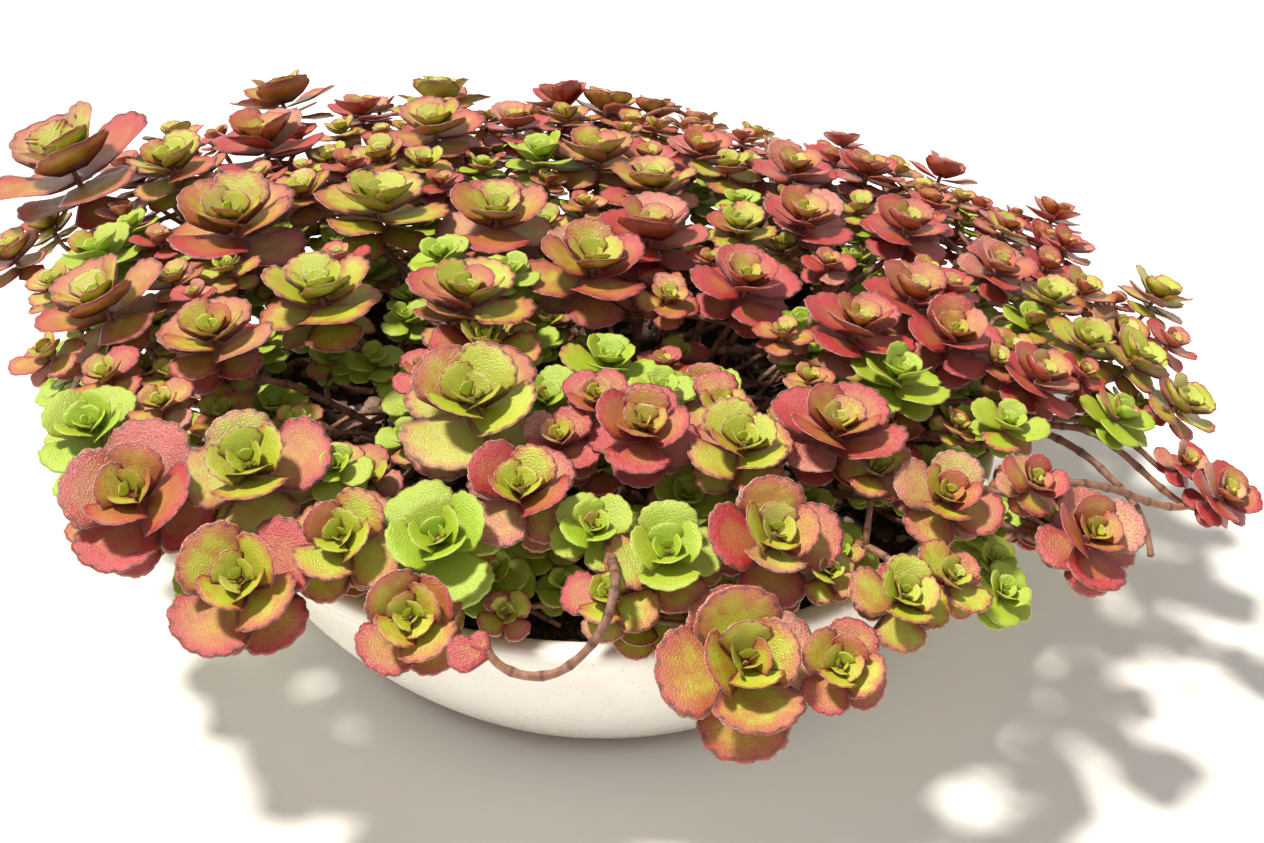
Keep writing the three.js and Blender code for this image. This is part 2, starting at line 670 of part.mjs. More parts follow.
// Sets every stalk, then the soil round the roots, and then the leaves, largest shoots first.
// A shoot with no clear way from its own stem may grow from a near one. Past that it is left out.
function growAll() {
  const stems = seenStems();
  const seen = stems.flatMap((stem) => stem.shoots);
  const late = backShoots(seen);
  [...seen, ...late].forEach(prepare);
  const pot = makePot();
  const crowd = new Crowd();
  crowd.add(pot, null);
  spreadRoots(stems).forEach((root, row) => {
    const main = stems[row].shoots[0];
    const ground = soilHeight(root.x, root.y);
    main.rooted = true;
    const start = [ground - STALK.pocket, ground + STALK.collar].map((height) => at(root.x, root.y, height));
    if (setStalk(main, [{ start }], crowd, stems[row]) === null) throw new Error(`no way for stem ${row + 1}`);
  });
  stems.forEach((stem) => stem.shoots.slice(1).forEach((shoot) => {
    if (!setSideStalk(shoot, [stem], crowd)) late.unshift(shoot);
  }));
  late.forEach((shoot) => {
    const near = stems.filter((stem) => stem.shoots[0].forks.length < MOST_FORKS)
      .sort((one, other) => one.shoots[0].place.distanceTo(shoot.place) - other.shoots[0].place.distanceTo(shoot.place));
    setSideStalk(shoot, near.slice(0, NEAR_STEMS), crowd);
  });
  const soil = makeSoil(stems);
  crowd.add(soil, null);
  stems.flatMap(({ shoots: [main] }) => [main, ...main.forks.map((fork) => fork.shoot)])
    .sort((one, other) => other.radius - one.radius)
    .forEach((shoot) => setLeaves(shoot, crowd));
  return { pot, soil, stems };
}

const { pot, soil, stems } = growAll();
const object = new THREE.Group();

function addPiece(name, solid, look) {
  const mesh = new THREE.Mesh(geometryOf(solid), new THREE.MeshStandardMaterial(look));
  mesh.name = name;
  object.add(mesh);
}

addPiece('pot', pot, { color: 0xe9e4da, roughness: 0.45, metalness: 0 });
addPiece('soil', soil, { color: 0x4a362b, roughness: 0.95, metalness: 0 });
stems.forEach((stem, row) => {
  const solid = stalkSolid(stem.shoots[0], { bearing: true });
  const look = { ...stem.shoots[0].tone, roughness: 0.5, metalness: 0 };
  addPiece(`leafy_stem_${String(row + 1).padStart(2, '0')}`, solid, look);
});

export default object;
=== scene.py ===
"""A shallow bowl of spreading stonecrop: rosettes of fleshy scalloped leaves on creeping
stalks, in soil with bark and small stones. Lengths are worked out in millimetres and
written to the meshes in metres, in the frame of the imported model."""

import functools
import math

import bpy
import numpy as np
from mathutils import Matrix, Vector
from mathutils.bvhtree import BVHTree
from mathutils.kdtree import KDTree


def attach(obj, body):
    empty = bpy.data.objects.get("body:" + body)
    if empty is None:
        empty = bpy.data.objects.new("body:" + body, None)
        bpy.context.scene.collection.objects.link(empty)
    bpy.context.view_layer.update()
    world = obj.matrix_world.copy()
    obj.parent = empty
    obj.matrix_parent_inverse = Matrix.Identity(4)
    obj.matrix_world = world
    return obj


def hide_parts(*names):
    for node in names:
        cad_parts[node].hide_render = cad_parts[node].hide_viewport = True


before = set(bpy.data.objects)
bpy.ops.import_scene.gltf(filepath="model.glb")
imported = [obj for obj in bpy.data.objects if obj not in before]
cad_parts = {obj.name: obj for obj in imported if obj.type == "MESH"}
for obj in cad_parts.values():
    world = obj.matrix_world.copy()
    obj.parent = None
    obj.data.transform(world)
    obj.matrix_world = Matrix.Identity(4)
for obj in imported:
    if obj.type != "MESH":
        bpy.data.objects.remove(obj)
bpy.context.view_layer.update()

bl_info = {
    "name": "Potted Stonecrop",
    "version": (1, 0, 0),
    "blender": (4, 5, 0),
    "location": "View3D > Sidebar > Stonecrop",
    "description": "Builds a bowl of spreading stonecrop around its packed model",
    "category": "Add Mesh",
}

MM = 0.001

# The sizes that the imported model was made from, in millimetres and degrees. The canopy is
# the clump's upper surface: a flattened dome that leans to the right.
POT = {"rim": 142, "foot": 98, "height": 80, "wall": 6, "floor": 8, "lip": 3}
DRAIN = {"count": 3, "radius": 5, "circle": 46}
SOIL = {"edge": 70, "crown": 75, "relief": 1.2}
STALK = {"width": 2.4, "branch": 2.0, "pocket": 12, "collar": 4}
CANOPY = {
    "x": 0, "y": 15, "left": 240, "right": 222, "front": 182, "back": 200,
    "turn": -12, "square": 2.4, "top": 138, "drop": 40, "fall": 3, "lean": 0.06,
}
# How the photograph looks at the clump, with its focal length, middle and width in pixels,
# and the nearest and farthest places that a line of sight is followed between.
VIEW = {
    "pitch": 34, "distance": 590, "target": (10, -55, 106), "focal": 1736, "middle": (632, 421.5),
    "width": 1264, "near": 380, "far": 900,
}
# How much wider a shoot is than it was measured, and the row of shoots along the unseen edge.
FULLNESS = 1.25
BACK_ROW = {
    "from": 6, "to": 174, "count": 17, "reach": 0.98, "depths": (2, 9), "lowest": 93,
    "radius": 13.4, "apart": 21,
}
# The length of a stalk that carries the forks, how the roots are drawn in and pushed apart,
# a packed leaf's blade, and the steps between a stalk's pairs: a share of the radius.
FORK = 3
ROOTS = {"draw": 0.6, "reach": 119, "apart": 10, "rounds": 60}
BLADE = {"cup": 0.1, "curl": 0.04, "thickness": 1.7}
STEPS = {"least": 1.3, "share": 0.09}

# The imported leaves' outlines, as shares along and across, and each size's pairs of leaves:
# the length as a share of the radius, the rise in degrees and the outline.
BROAD_EDGE = ((0.58, 0.46), (0.78, 0.4), (0.98, 0.22))
SMALL_EDGE = ((0.62, 0.44), (0.9, 0.26), (1, 0))
BUD_EDGE = ((0.66, 0.42), (1, 0))
LARGE = 13.5
MIDDLING = 9
PAIRS = {
    "large": ((1, 6, BROAD_EDGE), (0.86, 25, BROAD_EDGE), (0.54, 50, BUD_EDGE)),
    "middling": ((1, 10, BROAD_EDGE), (0.68, 38, BUD_EDGE)),
    "slight": ((1, 22, SMALL_EDGE), (0.62, 48, BUD_EDGE)),
}
# The bends and shortenings that a packed leaf may have, and the shifts of a stalk's middle,
# sideways and up.
BENDS = (
    (0, 1), (10, 1), (0, 0.88), (20, 0.95), (10, 0.8), (32, 0.9), (-10, 0.9),
    (22, 0.74), (44, 0.8), (10, 0.64), (34, 0.62), (56, 0.6), (20, 0.5),
)
SHIFTS = (
    (0, 0), (5, 0), (-5, 0), (0, 5), (0, -4), (9, 2), (-9, 2), (5, 6), (-5, 6),
    (13, 0), (-13, 0), (9, 8), (-9, 8), (0, 10), (16, 5), (-16, 5), (7, -6), (-7, -6),
    (0, -8), (14, -6), (-14, -6), (20, 0), (-20, 0), (22, 8), (-22, 8), (0, 16),
)

YOUNG, LIME, PINK, RED = "young", "lime", "pink", "red"

# The shoots on each leafy stem: the pixel of a shoot's middle and its width in the
# photograph, its tone, and how far its crown stands above the canopy's surface.
LEAFY_STEMS = (
    ((68, 160, 142, PINK, 18),),
    ((171, 163, 84, LIME, 8), (177, 136, 50, LIME, 10)),
    ((265, 140, 100, RED, 0),),
    ((281, 97, 85, PINK, 0),),
    ((48, 352, 62, PINK, -2), (100, 253, 78, YOUNG, -4)),
    ((100, 301, 114, PINK, 0), (161, 339, 34, YOUNG, -22)),
    ((214, 335, 100, PINK, 0),),
    ((234, 221, 125, PINK, 0), (236, 288, 60, YOUNG, -24)),
    ((321, 293, 110, LIME, 0), (375, 360, 45, YOUNG, -26)),
    ((362, 110, 60, RED, 0), (330, 160, 52, LIME, -8)),
    ((380, 202, 108, LIME, 0), (303, 191, 62, PINK, -4)),
    ((435, 126, 85, PINK, 0), (380, 156, 55, PINK, -4)),
    ((443, 96, 76, LIME, 0),),
    ((424, 163, 48, LIME, -6), (483, 165, 36, YOUNG, -10)),
    ((497, 215, 102, PINK, 0), (423, 247, 32, YOUNG, -24)),
    ((542, 154, 64, YOUNG, -2), (515, 122, 60, RED, 0)),
    ((561, 100, 62, RED, 0),),
    ((609, 106, 66, PINK, 0), (655, 111, 50, PINK, 0)),
    ((598, 154, 82, PINK, 0), (588, 216, 28, YOUNG, -26)),
    ((652, 184, 88, PINK, 0), (700, 150, 62, RED, 0)),
    ((652, 230, 96, RED, 0), (663, 287, 50, PINK, -10), (697, 260, 44, LIME, -16)),
    ((593, 264, 112, PINK, 0), (545, 225, 50, LIME, -10)),
    ((468, 296, 108, LIME, 0), (486, 344, 90, LIME, -8)),
    ((746, 282, 92, RED, 0), (795, 346, 52, YOUNG, -24)),
    ((740, 226, 58, LIME, -4), (727, 168, 60, LIME, -2)),
    ((793, 169, 75, RED, 0), (743, 138, 34, RED, 0)),
    ((835, 160, 50, RED, -2),),
    ((805, 218, 82, RED, 0), (782, 248, 40, LIME, -12)),
    ((869, 169, 62, RED, 0), (859, 208, 46, LIME, -6)),
    ((907, 225, 80, RED, 0), (942, 172, 60, RED, 0)),
    ((998, 267, 68, RED, 0), (1005, 228, 52, LIME, 0)),
    ((1067, 246, 52, RED, 0), (1046, 265, 48, RED, -4)),
    ((914, 294, 88, RED, 0), (952, 288, 50, RED, 0)),
    ((859, 325, 95, RED, 0), (821, 273, 32, YOUNG, -20)),
    ((954, 336, 85, RED, 0), (1032, 322, 50, YOUNG, -8)),
    ((1088, 343, 70, LIME, 0), (1050, 298, 58, LIME, 0)),
    ((1136, 357, 72, LIME, 0), (1171, 343, 50, RED, 0)),
    ((1041, 376, 80, RED, 0), (994, 360, 52, PINK, -2)),
    ((1182, 402, 68, LIME, 0),),
    ((1225, 493, 66, RED, 0), (1186, 462, 48, RED, -4)),
    ((901, 376, 86, YOUNG, -4),),
    ((1008, 424, 62, YOUNG, -4), (957, 424, 40, LIME, -10)),
    ((837, 428, 112, RED, 0),),
    ((743, 446, 100, LIME, 0), (705, 395, 76, YOUNG, -16)),
    ((644, 427, 96, RED, 0), (609, 363, 76, YOUNG, -14)),
    ((472, 402, 140, LIME, 0), (523, 344, 55, YOUNG, -18)),
    ((521, 491, 108, PINK, 0), (545, 400, 62, YOUNG, -16)),
    ((135, 497, 134, RED, 0), (91, 427, 90, YOUNG, 0)),
    ((250, 467, 125, LIME, 0),),
    ((342, 539, 104, LIME, 0), (243, 583, 130, PINK, 0)),
    ((439, 540, 114, YOUNG, 0), (412, 619, 106, PINK, 0)),
    ((668, 553, 100, YOUNG, 0), (594, 529, 74, YOUNG, -2)),
    ((774, 536, 115, PINK, 0),),
    ((745, 665, 156, PINK, 0), (841, 667, 86, PINK, 0)),
    ((903, 597, 86, LIME, 0), (829, 572, 56, LIME, -4)),
    ((952, 578, 70, LIME, -2), (876, 471, 64, LIME, -4)),
    ((948, 497, 86, PINK, 0), (1034, 482, 60, PINK, 0)),
    ((1092, 536, 96, RED, 0),),
)

# Each tone's share of red and of youth, and the record's slot that goes with it.
TONES = {
    YOUNG: {"blush": 0.05, "youth": 1.0, "slot": "leaf_green"},
    LIME: {"blush": 0.42, "youth": 0.5, "slot": "leaf_lime"},
    PINK: {"blush": 0.72, "youth": 0.3, "slot": "leaf_pink"},
    RED: {"blush": 1.34, "youth": 0.1, "slot": "leaf_red"},
}

# The finer leaves that each size of rosette has besides its packed pairs: the band counted
# from the outermost packed pair, with the length as a share of the radius and the rise.
INNER_PAIRS = {
    "large": ((3, 0.5, 42), (4, 0.34, 50), (5, 0.18, 60)),
    "middling": ((2, 0.52, 42), (3, 0.33, 50), (4, 0.17, 60)),
    "slight": ((2, 0.42, 46), (3, 0.22, 58)),
}
OUTER_PAIRS = {
    "large": ((-1, 0.9, -2), (-2, 0.8, -12), (-3, 0.66, -22)),
    "middling": ((-1, 0.92, -2), (-2, 0.8, -12), (-3, 0.64, -22)),
    "slight": ((-1, 0.9, 4), (-2, 0.76, -8)),
}
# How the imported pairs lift, in degrees, and lengthen in their finer form, from the outermost.
LIFTED = {
    "large": ((6, 1), (4, 1.02), (-9, 1.24)),
    "middling": ((6, 1), (2, 1.06)),
    "slight": ((2, 1), (-2, 1)),
}
# How the inner pairs sit: their first height and the pitch between them, in steps of the
# stalk, how far out they start, as a share of the radius, and their thickness.
HEART = {"start": 0.1, "pitch": 0.45, "out": 0.04, "thickness": 1.2}
# Where a leaf would touch a neighbour it bends and shortens, in these steps.
TRIES = ((0, 1), (12, 0.95), (-12, 0.95), (24, 0.85), (-22, 0.85), (12, 0.7), (38, 0.7), (20, 0.55))


def jitter(key, salt):
    """The part of a large sine wave past its whole number: always the same for a key and salt."""
    wave = np.sin(np.asarray(key, float) * 127.1 + salt * 311.7) * 43758.5453
    return wave - np.floor(wave)


def draw(key, salt):
    """The jitter of one key, as a plain number."""
    return float(jitter(key, salt))


def blend(low, high, share):
    return low + (high - low) * share


def vec(*numbers):
    return np.array(numbers, float)


def unit(vector):
    return vector / np.linalg.norm(vector)


def turned(vector, axis, angle):
    """The vector turned about a unit axis by Rodrigues' formula."""
    cosine = math.cos(angle)
    return (
        vector * cosine
        + np.cross(axis, vector) * math.sin(angle)
        + axis * np.dot(axis, vector) * (1 - cosine)
    )


def canopy_share(x, y):
    """The share of the way from the canopy's middle to its edge: the norm of a superellipse."""
    turn = math.radians(CANOPY["turn"])
    dx = x - CANOPY["x"]
    dy = y - CANOPY["y"]
    along = dx * math.cos(turn) + dy * math.sin(turn)
    across = -dx * math.sin(turn) + dy * math.cos(turn)
    width = np.where(along < 0, CANOPY["left"], CANOPY["right"])
    depth = np.where(across < 0, CANOPY["front"], CANOPY["back"])
    power = CANOPY["square"]
    return (np.abs(along / width) ** power + np.abs(across / depth) ** power) ** (1 / power)


def canopy_height(x, y):
    """A dome that falls by the cube of the share, and leans to the right."""
    return CANOPY["top"] - CANOPY["drop"] * canopy_share(x, y) ** CANOPY["fall"] - CANOPY["lean"] * x


def canopy_at(place):
    """The canopy's share and height at one place."""
    return float(canopy_share(*place[:2])), float(canopy_height(*place[:2]))


def facing(place, key):
    """The canopy's upright normal at a place, with a little play."""
    step, play = 4, 0.28
    x, y = place[:2]
    slope_x = (canopy_height(x + step, y) - canopy_height(x - step, y)) / (2 * step)
    slope_y = (canopy_height(x, y + step) - canopy_height(x, y - step)) / (2 * step)
    return unit(vec(play * (jitter(key, 1) - 0.5) - slope_x, play * (jitter(key, 2) - 0.5) - slope_y, 1))


def view_axes():
    """The camera's eye and its directions ahead and above, in millimetres."""
    pitch = math.radians(VIEW["pitch"])
    ahead = vec(0, math.cos(pitch), -math.sin(pitch))
    above = vec(0, math.sin(pitch), math.cos(pitch))
    eye = vec(*VIEW["target"]) - VIEW["distance"] * ahead
    return eye, ahead, above


def sight(u, v):
    """The way that a pixel's line of sight leaves the eye."""
    _, ahead, above = view_axes()
    left = vec((u - VIEW["middle"][0]) / VIEW["focal"], 0, 0)
    return ahead + left + above * (VIEW["middle"][1] - v) / VIEW["focal"]


def pixel_of(places):
    """The pixels that places are seen at: the inverse of the lines of sight."""
    eye, ahead, above = view_axes()
    from_eye = np.atleast_2d(places) - eye
    depth = from_eye @ ahead
    u = VIEW["middle"][0] + VIEW["focal"] * from_eye[:, 0] / depth
    v = VIEW["middle"][1] - VIEW["focal"] * (from_eye @ above) / depth
    return np.stack([u, v], 1)


def crown(u, v, lift):
    """The first place on a line of sight that is on the lifted canopy, or the nearest to it."""
    eye, _, _ = view_axes()
    step = 2
    depths = np.arange(VIEW["near"], VIEW["far"], step, dtype=float)
    places = eye + depths[:, None] * sight(u, v)
    gaps = places[:, 2] - canopy_height(places[:, 0], places[:, 1]) - lift
    under = gaps <= 0
    if under.any():
        row = int(np.argmax(under))
        before = gaps[row - 1]
        depth = depths[row - 1] + step * before / (before - gaps[row])
    else:
        depth = depths[int(np.argmin(gaps))]
    return eye + depth * sight(u, v), depth


class Shoot:
    """A rosette with its crown's place and facing, its stalk's route and its leaves."""

    def __init__(self, key, place, radius, tone, normal=None):
        self.key = key
        self.place = place
        self.radius = radius
        self.tone = tone
        self.normal = facing(place, key) if normal is None else normal
        self.step = max(STEPS["least"], STEPS["share"] * radius)
        self.rooted = False
        self.route = []
        self.leaves = []
        helper = vec(1, 0, 0) if abs(self.normal[0]) < 0.9 else vec(0, 1, 0)
        level = unit(helper - self.normal * np.dot(helper, self.normal))
        self.side = turned(level, self.normal, math.pi * draw(key, 7))

    def on_axis(self, steps):
        """A place above the crown, or below it, by so many steps between its pairs."""
        return self.place + self.normal * steps * self.step

    @property
    def size(self):
        if self.radius >= LARGE:
            return "large"
        return "middling" if self.radius >= MIDDLING else "slight"

    @property
    def pairs(self):
        return PAIRS[self.size]

    @property
    def bands(self):
        """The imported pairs, each with its band from the outermost, without their outlines."""
        return [(band, share, rise) for band, (share, rise, _) in enumerate(self.pairs)]

    def height(self, band):
        """A band's place in the rosette, from 0 outermost to 1 innermost."""
        return max(band, 0) / (len(self.pairs) + len(INNER_PAIRS[self.size]) - 1)


def seen_shoot(row, column):
    u, v, width, tone, lift = LEAFY_STEMS[row][column]
    place, depth = crown(u, v, lift)
    return Shoot(row * 10 + column, place, FULLNESS * width / 2 * depth / VIEW["focal"], tone)


def edge_place(direction, share):
    """The place on the canopy at a plan direction where its share is as given, by halving."""
    def at(reach):
        return CANOPY["x"] + reach * math.cos(direction), CANOPY["y"] + reach * math.sin(direction)

    inner, outer = 0.0, 400.0
    for _ in range(24):
        middle = (inner + outer) / 2
        inner, outer = (middle, outer) if canopy_share(*at(middle)) < share else (inner, middle)
    return vec(*at(inner), float(canopy_height(*at(inner))))


def back_shoots(seen):
    """A row of shoots along the canopy's unseen edge, where no seen shoot is too near."""
    shoots = []
    for step in range(BACK_ROW["count"]):
        key = 1000 + step
        turn = (step + 0.3 + 0.4 * jitter(key, 3)) / BACK_ROW["count"]
        direction = math.radians(BACK_ROW["from"] + (BACK_ROW["to"] - BACK_ROW["from"]) * turn)
        place = edge_place(direction, BACK_ROW["reach"] + 0.04 * (step % 2))
        place[2] = max(place[2] - BACK_ROW["depths"][step % 2], BACK_ROW["lowest"])
        radius = BACK_ROW["radius"] * (0.8 + 0.4 * draw(key, 4))
        if all(np.linalg.norm(other.place - place) > BACK_ROW["apart"] for other in seen):
            shoots.append(Shoot(key, place, radius, (LIME, PINK, RED)[step % 3]))
    return shoots


def spread_roots(mains):
    """The roots in plan, drawn in from the crowns and pushed apart in rounds."""
    def clamped(root):
        reach = np.linalg.norm(root)
        return root * min(1, ROOTS["reach"] / reach)

    roots = [clamped(main.place[:2] * ROOTS["draw"]) for main in mains]
    for _ in range(ROOTS["rounds"]):
        for row in range(len(roots)):
            for other in range(row + 1, len(roots)):
                between = roots[other] - roots[row]
                reach = np.linalg.norm(between)
                if reach < ROOTS["apart"]:
                    push = between / reach * (ROOTS["apart"] - reach) / 2
                    roots[row] = roots[row] - push
                    roots[other] = roots[other] + push
            roots[row] = clamped(roots[row])
    return roots


def soil_height(x, y):
    """A low mound that falls by the square of the radius, with a slow wave over it."""
    inside = np.hypot(x, y) / (POT["rim"] - POT["wall"])
    mound = SOIL["edge"] + (SOIL["crown"] - SOIL["edge"]) * (1 - inside ** 2)
    return mound + SOIL["relief"] * np.sin(x / 17) * np.cos(y / 13 + x / 31)


def stalk_sections(shoot):
    """The points of a stalk, with its way along and a side at each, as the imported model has."""
    points = [point.copy() for point in shoot.route]
    alongs = []
    for row, _ in enumerate(points):
        before = points[max(row - 1, 0)]
        after = points[row + 1] if row + 1 < len(points) else shoot.place
        alongs.append(unit(after - before))
    if shoot.rooted:
        alongs[:2] = [vec(0, 0, 1)] * 2
    for pair in range(len(shoot.pairs) + 1):
        points.append(shoot.on_axis(pair - len(shoot.pairs)))
        alongs.append(shoot.normal)
    sides = []
    side = shoot.side
    for row in range(len(points) - 1, -1, -1):
        side = unit(side - alongs[row] * np.dot(side, alongs[row]))
        if shoot.rooted and row == 0:
            side = sides[0]
        sides.insert(0, side)
    return points, alongs, sides


def corners(point, along, side, width):
    across = np.cross(along, side)
    return np.array([
        point + side * a * width / 2 + across * b * width / 2
        for a, b in ((1, 1), (-1, 1), (-1, -1), (1, -1))
    ])


def route_stalk(shoot, start, shift):
    """A stalk's points from its foot to its neck, its arched middle shifted sideways and up."""
    neck = shoot.on_axis(-len(shoot.pairs) - 2)
    span = neck - start[-1]
    lateral = unit(vec(-span[1], span[0], 0))
    arch = 0.09 * math.hypot(span[0], span[1])
    middle = start[-1] + span * 0.5 + lateral * shift[0] + vec(0, 0, arch + shift[1])
    if not shoot.rooted:
        return [*start, middle] if shoot.radius < MIDDLING else [*start, middle, neck]
    rise = unit(span) * FORK / 2
    return [*start, middle - rise, middle + rise, neck]


class Node:
    """A packed stem's mesh, to look up which of the known choices it was made with."""

    def __init__(self, name):
        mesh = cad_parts[name].data
        places = np.empty(3 * len(mesh.vertices))
        mesh.vertices.foreach_get("co", places)
        places = places.reshape(-1, 3) / MM
        self.name = name
        self.tree = KDTree(len(places))
        for row, place in enumerate(places):
            self.tree.insert(place, row)
        self.tree.balance()

    def miss(self, places):
        """The farthest that any of the places is from the mesh's nearest corner."""
        return max(self.tree.find(Vector(place))[2] for place in places)


TOLERANCE = 0.08


def closest(choices, miss):
    """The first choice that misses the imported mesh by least, and how much it misses by."""
    misses = [miss(choice) for choice in choices]
    row = int(np.argmin(misses))
    return choices[row], misses[row]


def settle_route(shoot, routes, section, width, node):
    """Gives the shoot the route on which one of its stalk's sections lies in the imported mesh."""
    def miss(route):
        shoot.route = route
        points, alongs, sides = stalk_sections(shoot)
        return node.miss(corners(points[section], alongs[section], sides[section], width))

    shoot.route, least = closest(routes, miss)
    return least


def settle_main(shoot, root, node):
    """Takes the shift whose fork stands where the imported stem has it."""
    ground = float(soil_height(*root))
    start = [vec(*root, ground - STALK["pocket"]), vec(*root, ground + STALK["collar"])]
    routes = [route_stalk(shoot, start, shift) for shift in SHIFTS]
    return settle_route(shoot, routes, 2, STALK["width"], node)


def settle_side(shoot, main, node):
    """Takes the fork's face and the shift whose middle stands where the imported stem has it."""
    points, alongs, sides = stalk_sections(main)
    middle = (points[2] + points[3]) / 2
    outs = [turned(sides[3], alongs[3], face * math.pi / 2) for face in range(4)]
    starts = [[middle + out * STALK["width"] / 2] for out in outs]
    routes = [route_stalk(shoot, start, shift) for start in starts for shift in SHIFTS]
    return settle_route(shoot, routes, 1, STALK["branch"], node)


def leaf_of(shoot, band, opposite, length, rise):
    """A leaf's base and directions: pairs cross each other from band to band up the stalk."""
    middle = shoot.on_axis(band + 0.5 - len(shoot.pairs))
    turn = turned(shoot.side, shoot.normal, (band % 2) * math.pi / 2)
    out = turn if opposite == 0 else -turn
    width = STALK["width"] if shoot.rooted else STALK["branch"]
    key = shoot.key * 8 + opposite + band % 2 + 4 * band
    return {
        "key": key,
        "band": band,
        "base": middle + out * width / 2,
        "out": out,
        "up": shoot.normal,
        "across": np.cross(shoot.normal, out),
        "length": length * (0.92 + 0.16 * draw(key, 5)),
        "rise": rise + math.radians(10 * (draw(key, 6) - 0.5)),
        "thickness": BLADE["thickness"],
        "width": 1.0,
        "cup": BLADE["cup"],
        "tuck": 0.0,
        "inward": 0,
    }


def pair_leaves(shoot, pairs):
    """Both leaves of each pair, which is its band, its share of the radius and its rise."""
    for band, share, rise in pairs:
        for opposite in (0, 2):
            yield leaf_of(shoot, band, opposite, shoot.radius * share, math.radians(rise))


def bent(leaf, degrees, part):
    """The leaf with a steeper rise, and with only a part of its length."""
    return dict(leaf, rise=leaf["rise"] + math.radians(degrees), length=leaf["length"] * part)


def on_blade(leaf, along, across, lift):
    """Places on a leaf: out along its rise, up with a curl by the square of the way along, a
    cup by the square of the way across, and a lift. The finer leaves cup square to their
    blade, towards the middle of the rosette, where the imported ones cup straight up."""
    cup = leaf["cup"] * (across / 0.45) ** 2 * along
    lean = leaf["rise"] * leaf["inward"]
    length = leaf["length"]
    rise = along * math.sin(leaf["rise"]) + BLADE["curl"] * along ** 2 + cup * math.cos(lean)
    reach = along * math.cos(leaf["rise"]) - leaf["tuck"] * along ** 2 - cup * math.sin(lean)
    return (
        leaf["base"]
        + np.multiply.outer(length * reach, leaf["out"])
        + np.multiply.outer(length * across, leaf["across"])
        + np.multiply.outer(length * rise + lift, leaf["up"])
    )


def packed_leaves(shoot, node):
    """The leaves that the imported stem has, each with the bend that its corners show."""
    for full in pair_leaves(shoot, shoot.bands):
        along, across = np.array(shoot.pairs[full["band"]][2]).T
        leaf, miss = closest(
            [bent(full, *bend) for bend in BENDS],
            lambda leaf: node.miss(on_blade(leaf, along, -across, np.zeros(len(along)))),
        )
        if miss < TOLERANCE:
            shoot.leaves.append(leaf)


def grown_stems():
    """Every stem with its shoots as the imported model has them, found again from its corners."""
    nodes = [Node(f"leafy_stem_{row + 1:02d}") for row in range(len(LEAFY_STEMS))]
    stems = [[seen_shoot(row, column) for column in range(len(shoots))]
             for row, shoots in enumerate(LEAFY_STEMS)]
    mains = [stem[0] for stem in stems]
    late = back_shoots([shoot for stem in stems for shoot in stem])
    for main, root, node in zip(mains, spread_roots(mains), nodes):
        main.rooted = True
        miss = settle_main(main, root, node)
        if miss > TOLERANCE:
            print(f"{node.name}: its stalk is {miss:.2f} mm off")
    grown = [[main] for main in mains]
    for shoot in [shoot for stem in stems for shoot in stem[1:]] + late:
        tip = [shoot.on_axis(1)]
        misses = [node.miss(tip) for node in nodes]
        owner = int(np.argmin(misses))
        if misses[owner] > TOLERANCE:
            print(f"shoot {shoot.key} is not in the packed model")
            continue
        miss = settle_side(shoot, mains[owner], nodes[owner])
        if miss > TOLERANCE:
            print(f"{nodes[owner].name}: the side stalk of shoot {shoot.key} is {miss:.2f} mm off")
        grown[owner].append(shoot)
    for stem, node in zip(grown, nodes):
        for shoot in stem:
            packed_leaves(shoot, node)
    return grown


# The finer leaves' outline: where it is widest, its half width and the reach of its tip as
# shares of the length, the power of its superellipse, and its claw's half width.
OUTLINE = {
    "widest": 0.56, "half": 0.47, "tip": 0.43, "power": 2.15, "sweep": 105, "claw": 0.16,
    "narrow": 0.75, "low": (-0.02, 0.27),
}
# The rings of a leaf's lens as shares of the way to its rim, and how far they and its two
# poles stand above its middle plane, as shares of its thickness, with its slow wave.
RINGS = {"inner": 0.5, "outer": 0.88}
LENS = {"inner": 0.38, "outer": 0.3, "top": 0.4, "bottom": -0.6, "wave": 0.014}


def signed_power(value, power):
    return np.sign(value) * np.abs(value) ** power


@functools.cache
def outline(scallops, depth, fine):
    """A leaf's rim, as shares along and across it, with the count of scallops passed.
    The tip is a superellipse about the widest point, drawn in at each notch by one less the
    sine of its scallop, and its sides narrow by a power to the claw."""
    steps = fine * scallops + 1
    turn = np.linspace(0, scallops, steps)
    angle = np.radians(np.linspace(-OUTLINE["sweep"], OUTLINE["sweep"], steps))
    power = 2 / OUTLINE["power"]
    cosine, sine = signed_power(np.cos(angle), power), signed_power(np.sin(angle), power)
    share = 1 - depth * (1 - np.abs(np.sin(math.pi * turn)))
    along = OUTLINE["widest"] + OUTLINE["tip"] * cosine * share
    across = OUTLINE["half"] * sine * share
    low = np.array(OUTLINE["low"])
    narrow = (np.maximum(low, 0) / OUTLINE["widest"]) ** OUTLINE["narrow"]
    half = OUTLINE["claw"] + (OUTLINE["half"] - OUTLINE["claw"]) * narrow
    return (
        np.concatenate([low, along, low[::-1]]),
        np.concatenate([-half, across, half[::-1]]),
        np.concatenate([[0, 0], turn, [scallops, scallops]]),
    )


def ring_faces(count, lower, upper):
    """The quads between two closed rings of corners."""
    here = np.arange(count)
    after = (here + 1) % count
    return np.stack([lower + here, lower + after, upper + after, upper + here], 1)


def fan_faces(count, ring, pole, inwards=False):
    """The triangles between a closed ring and a pole."""
    here = np.arange(count)
    after = (here + 1) % count
    fan = np.stack([ring + here, ring + after, np.full(count, pole)], 1)
    return fan[:, ::-1] if inwards else fan


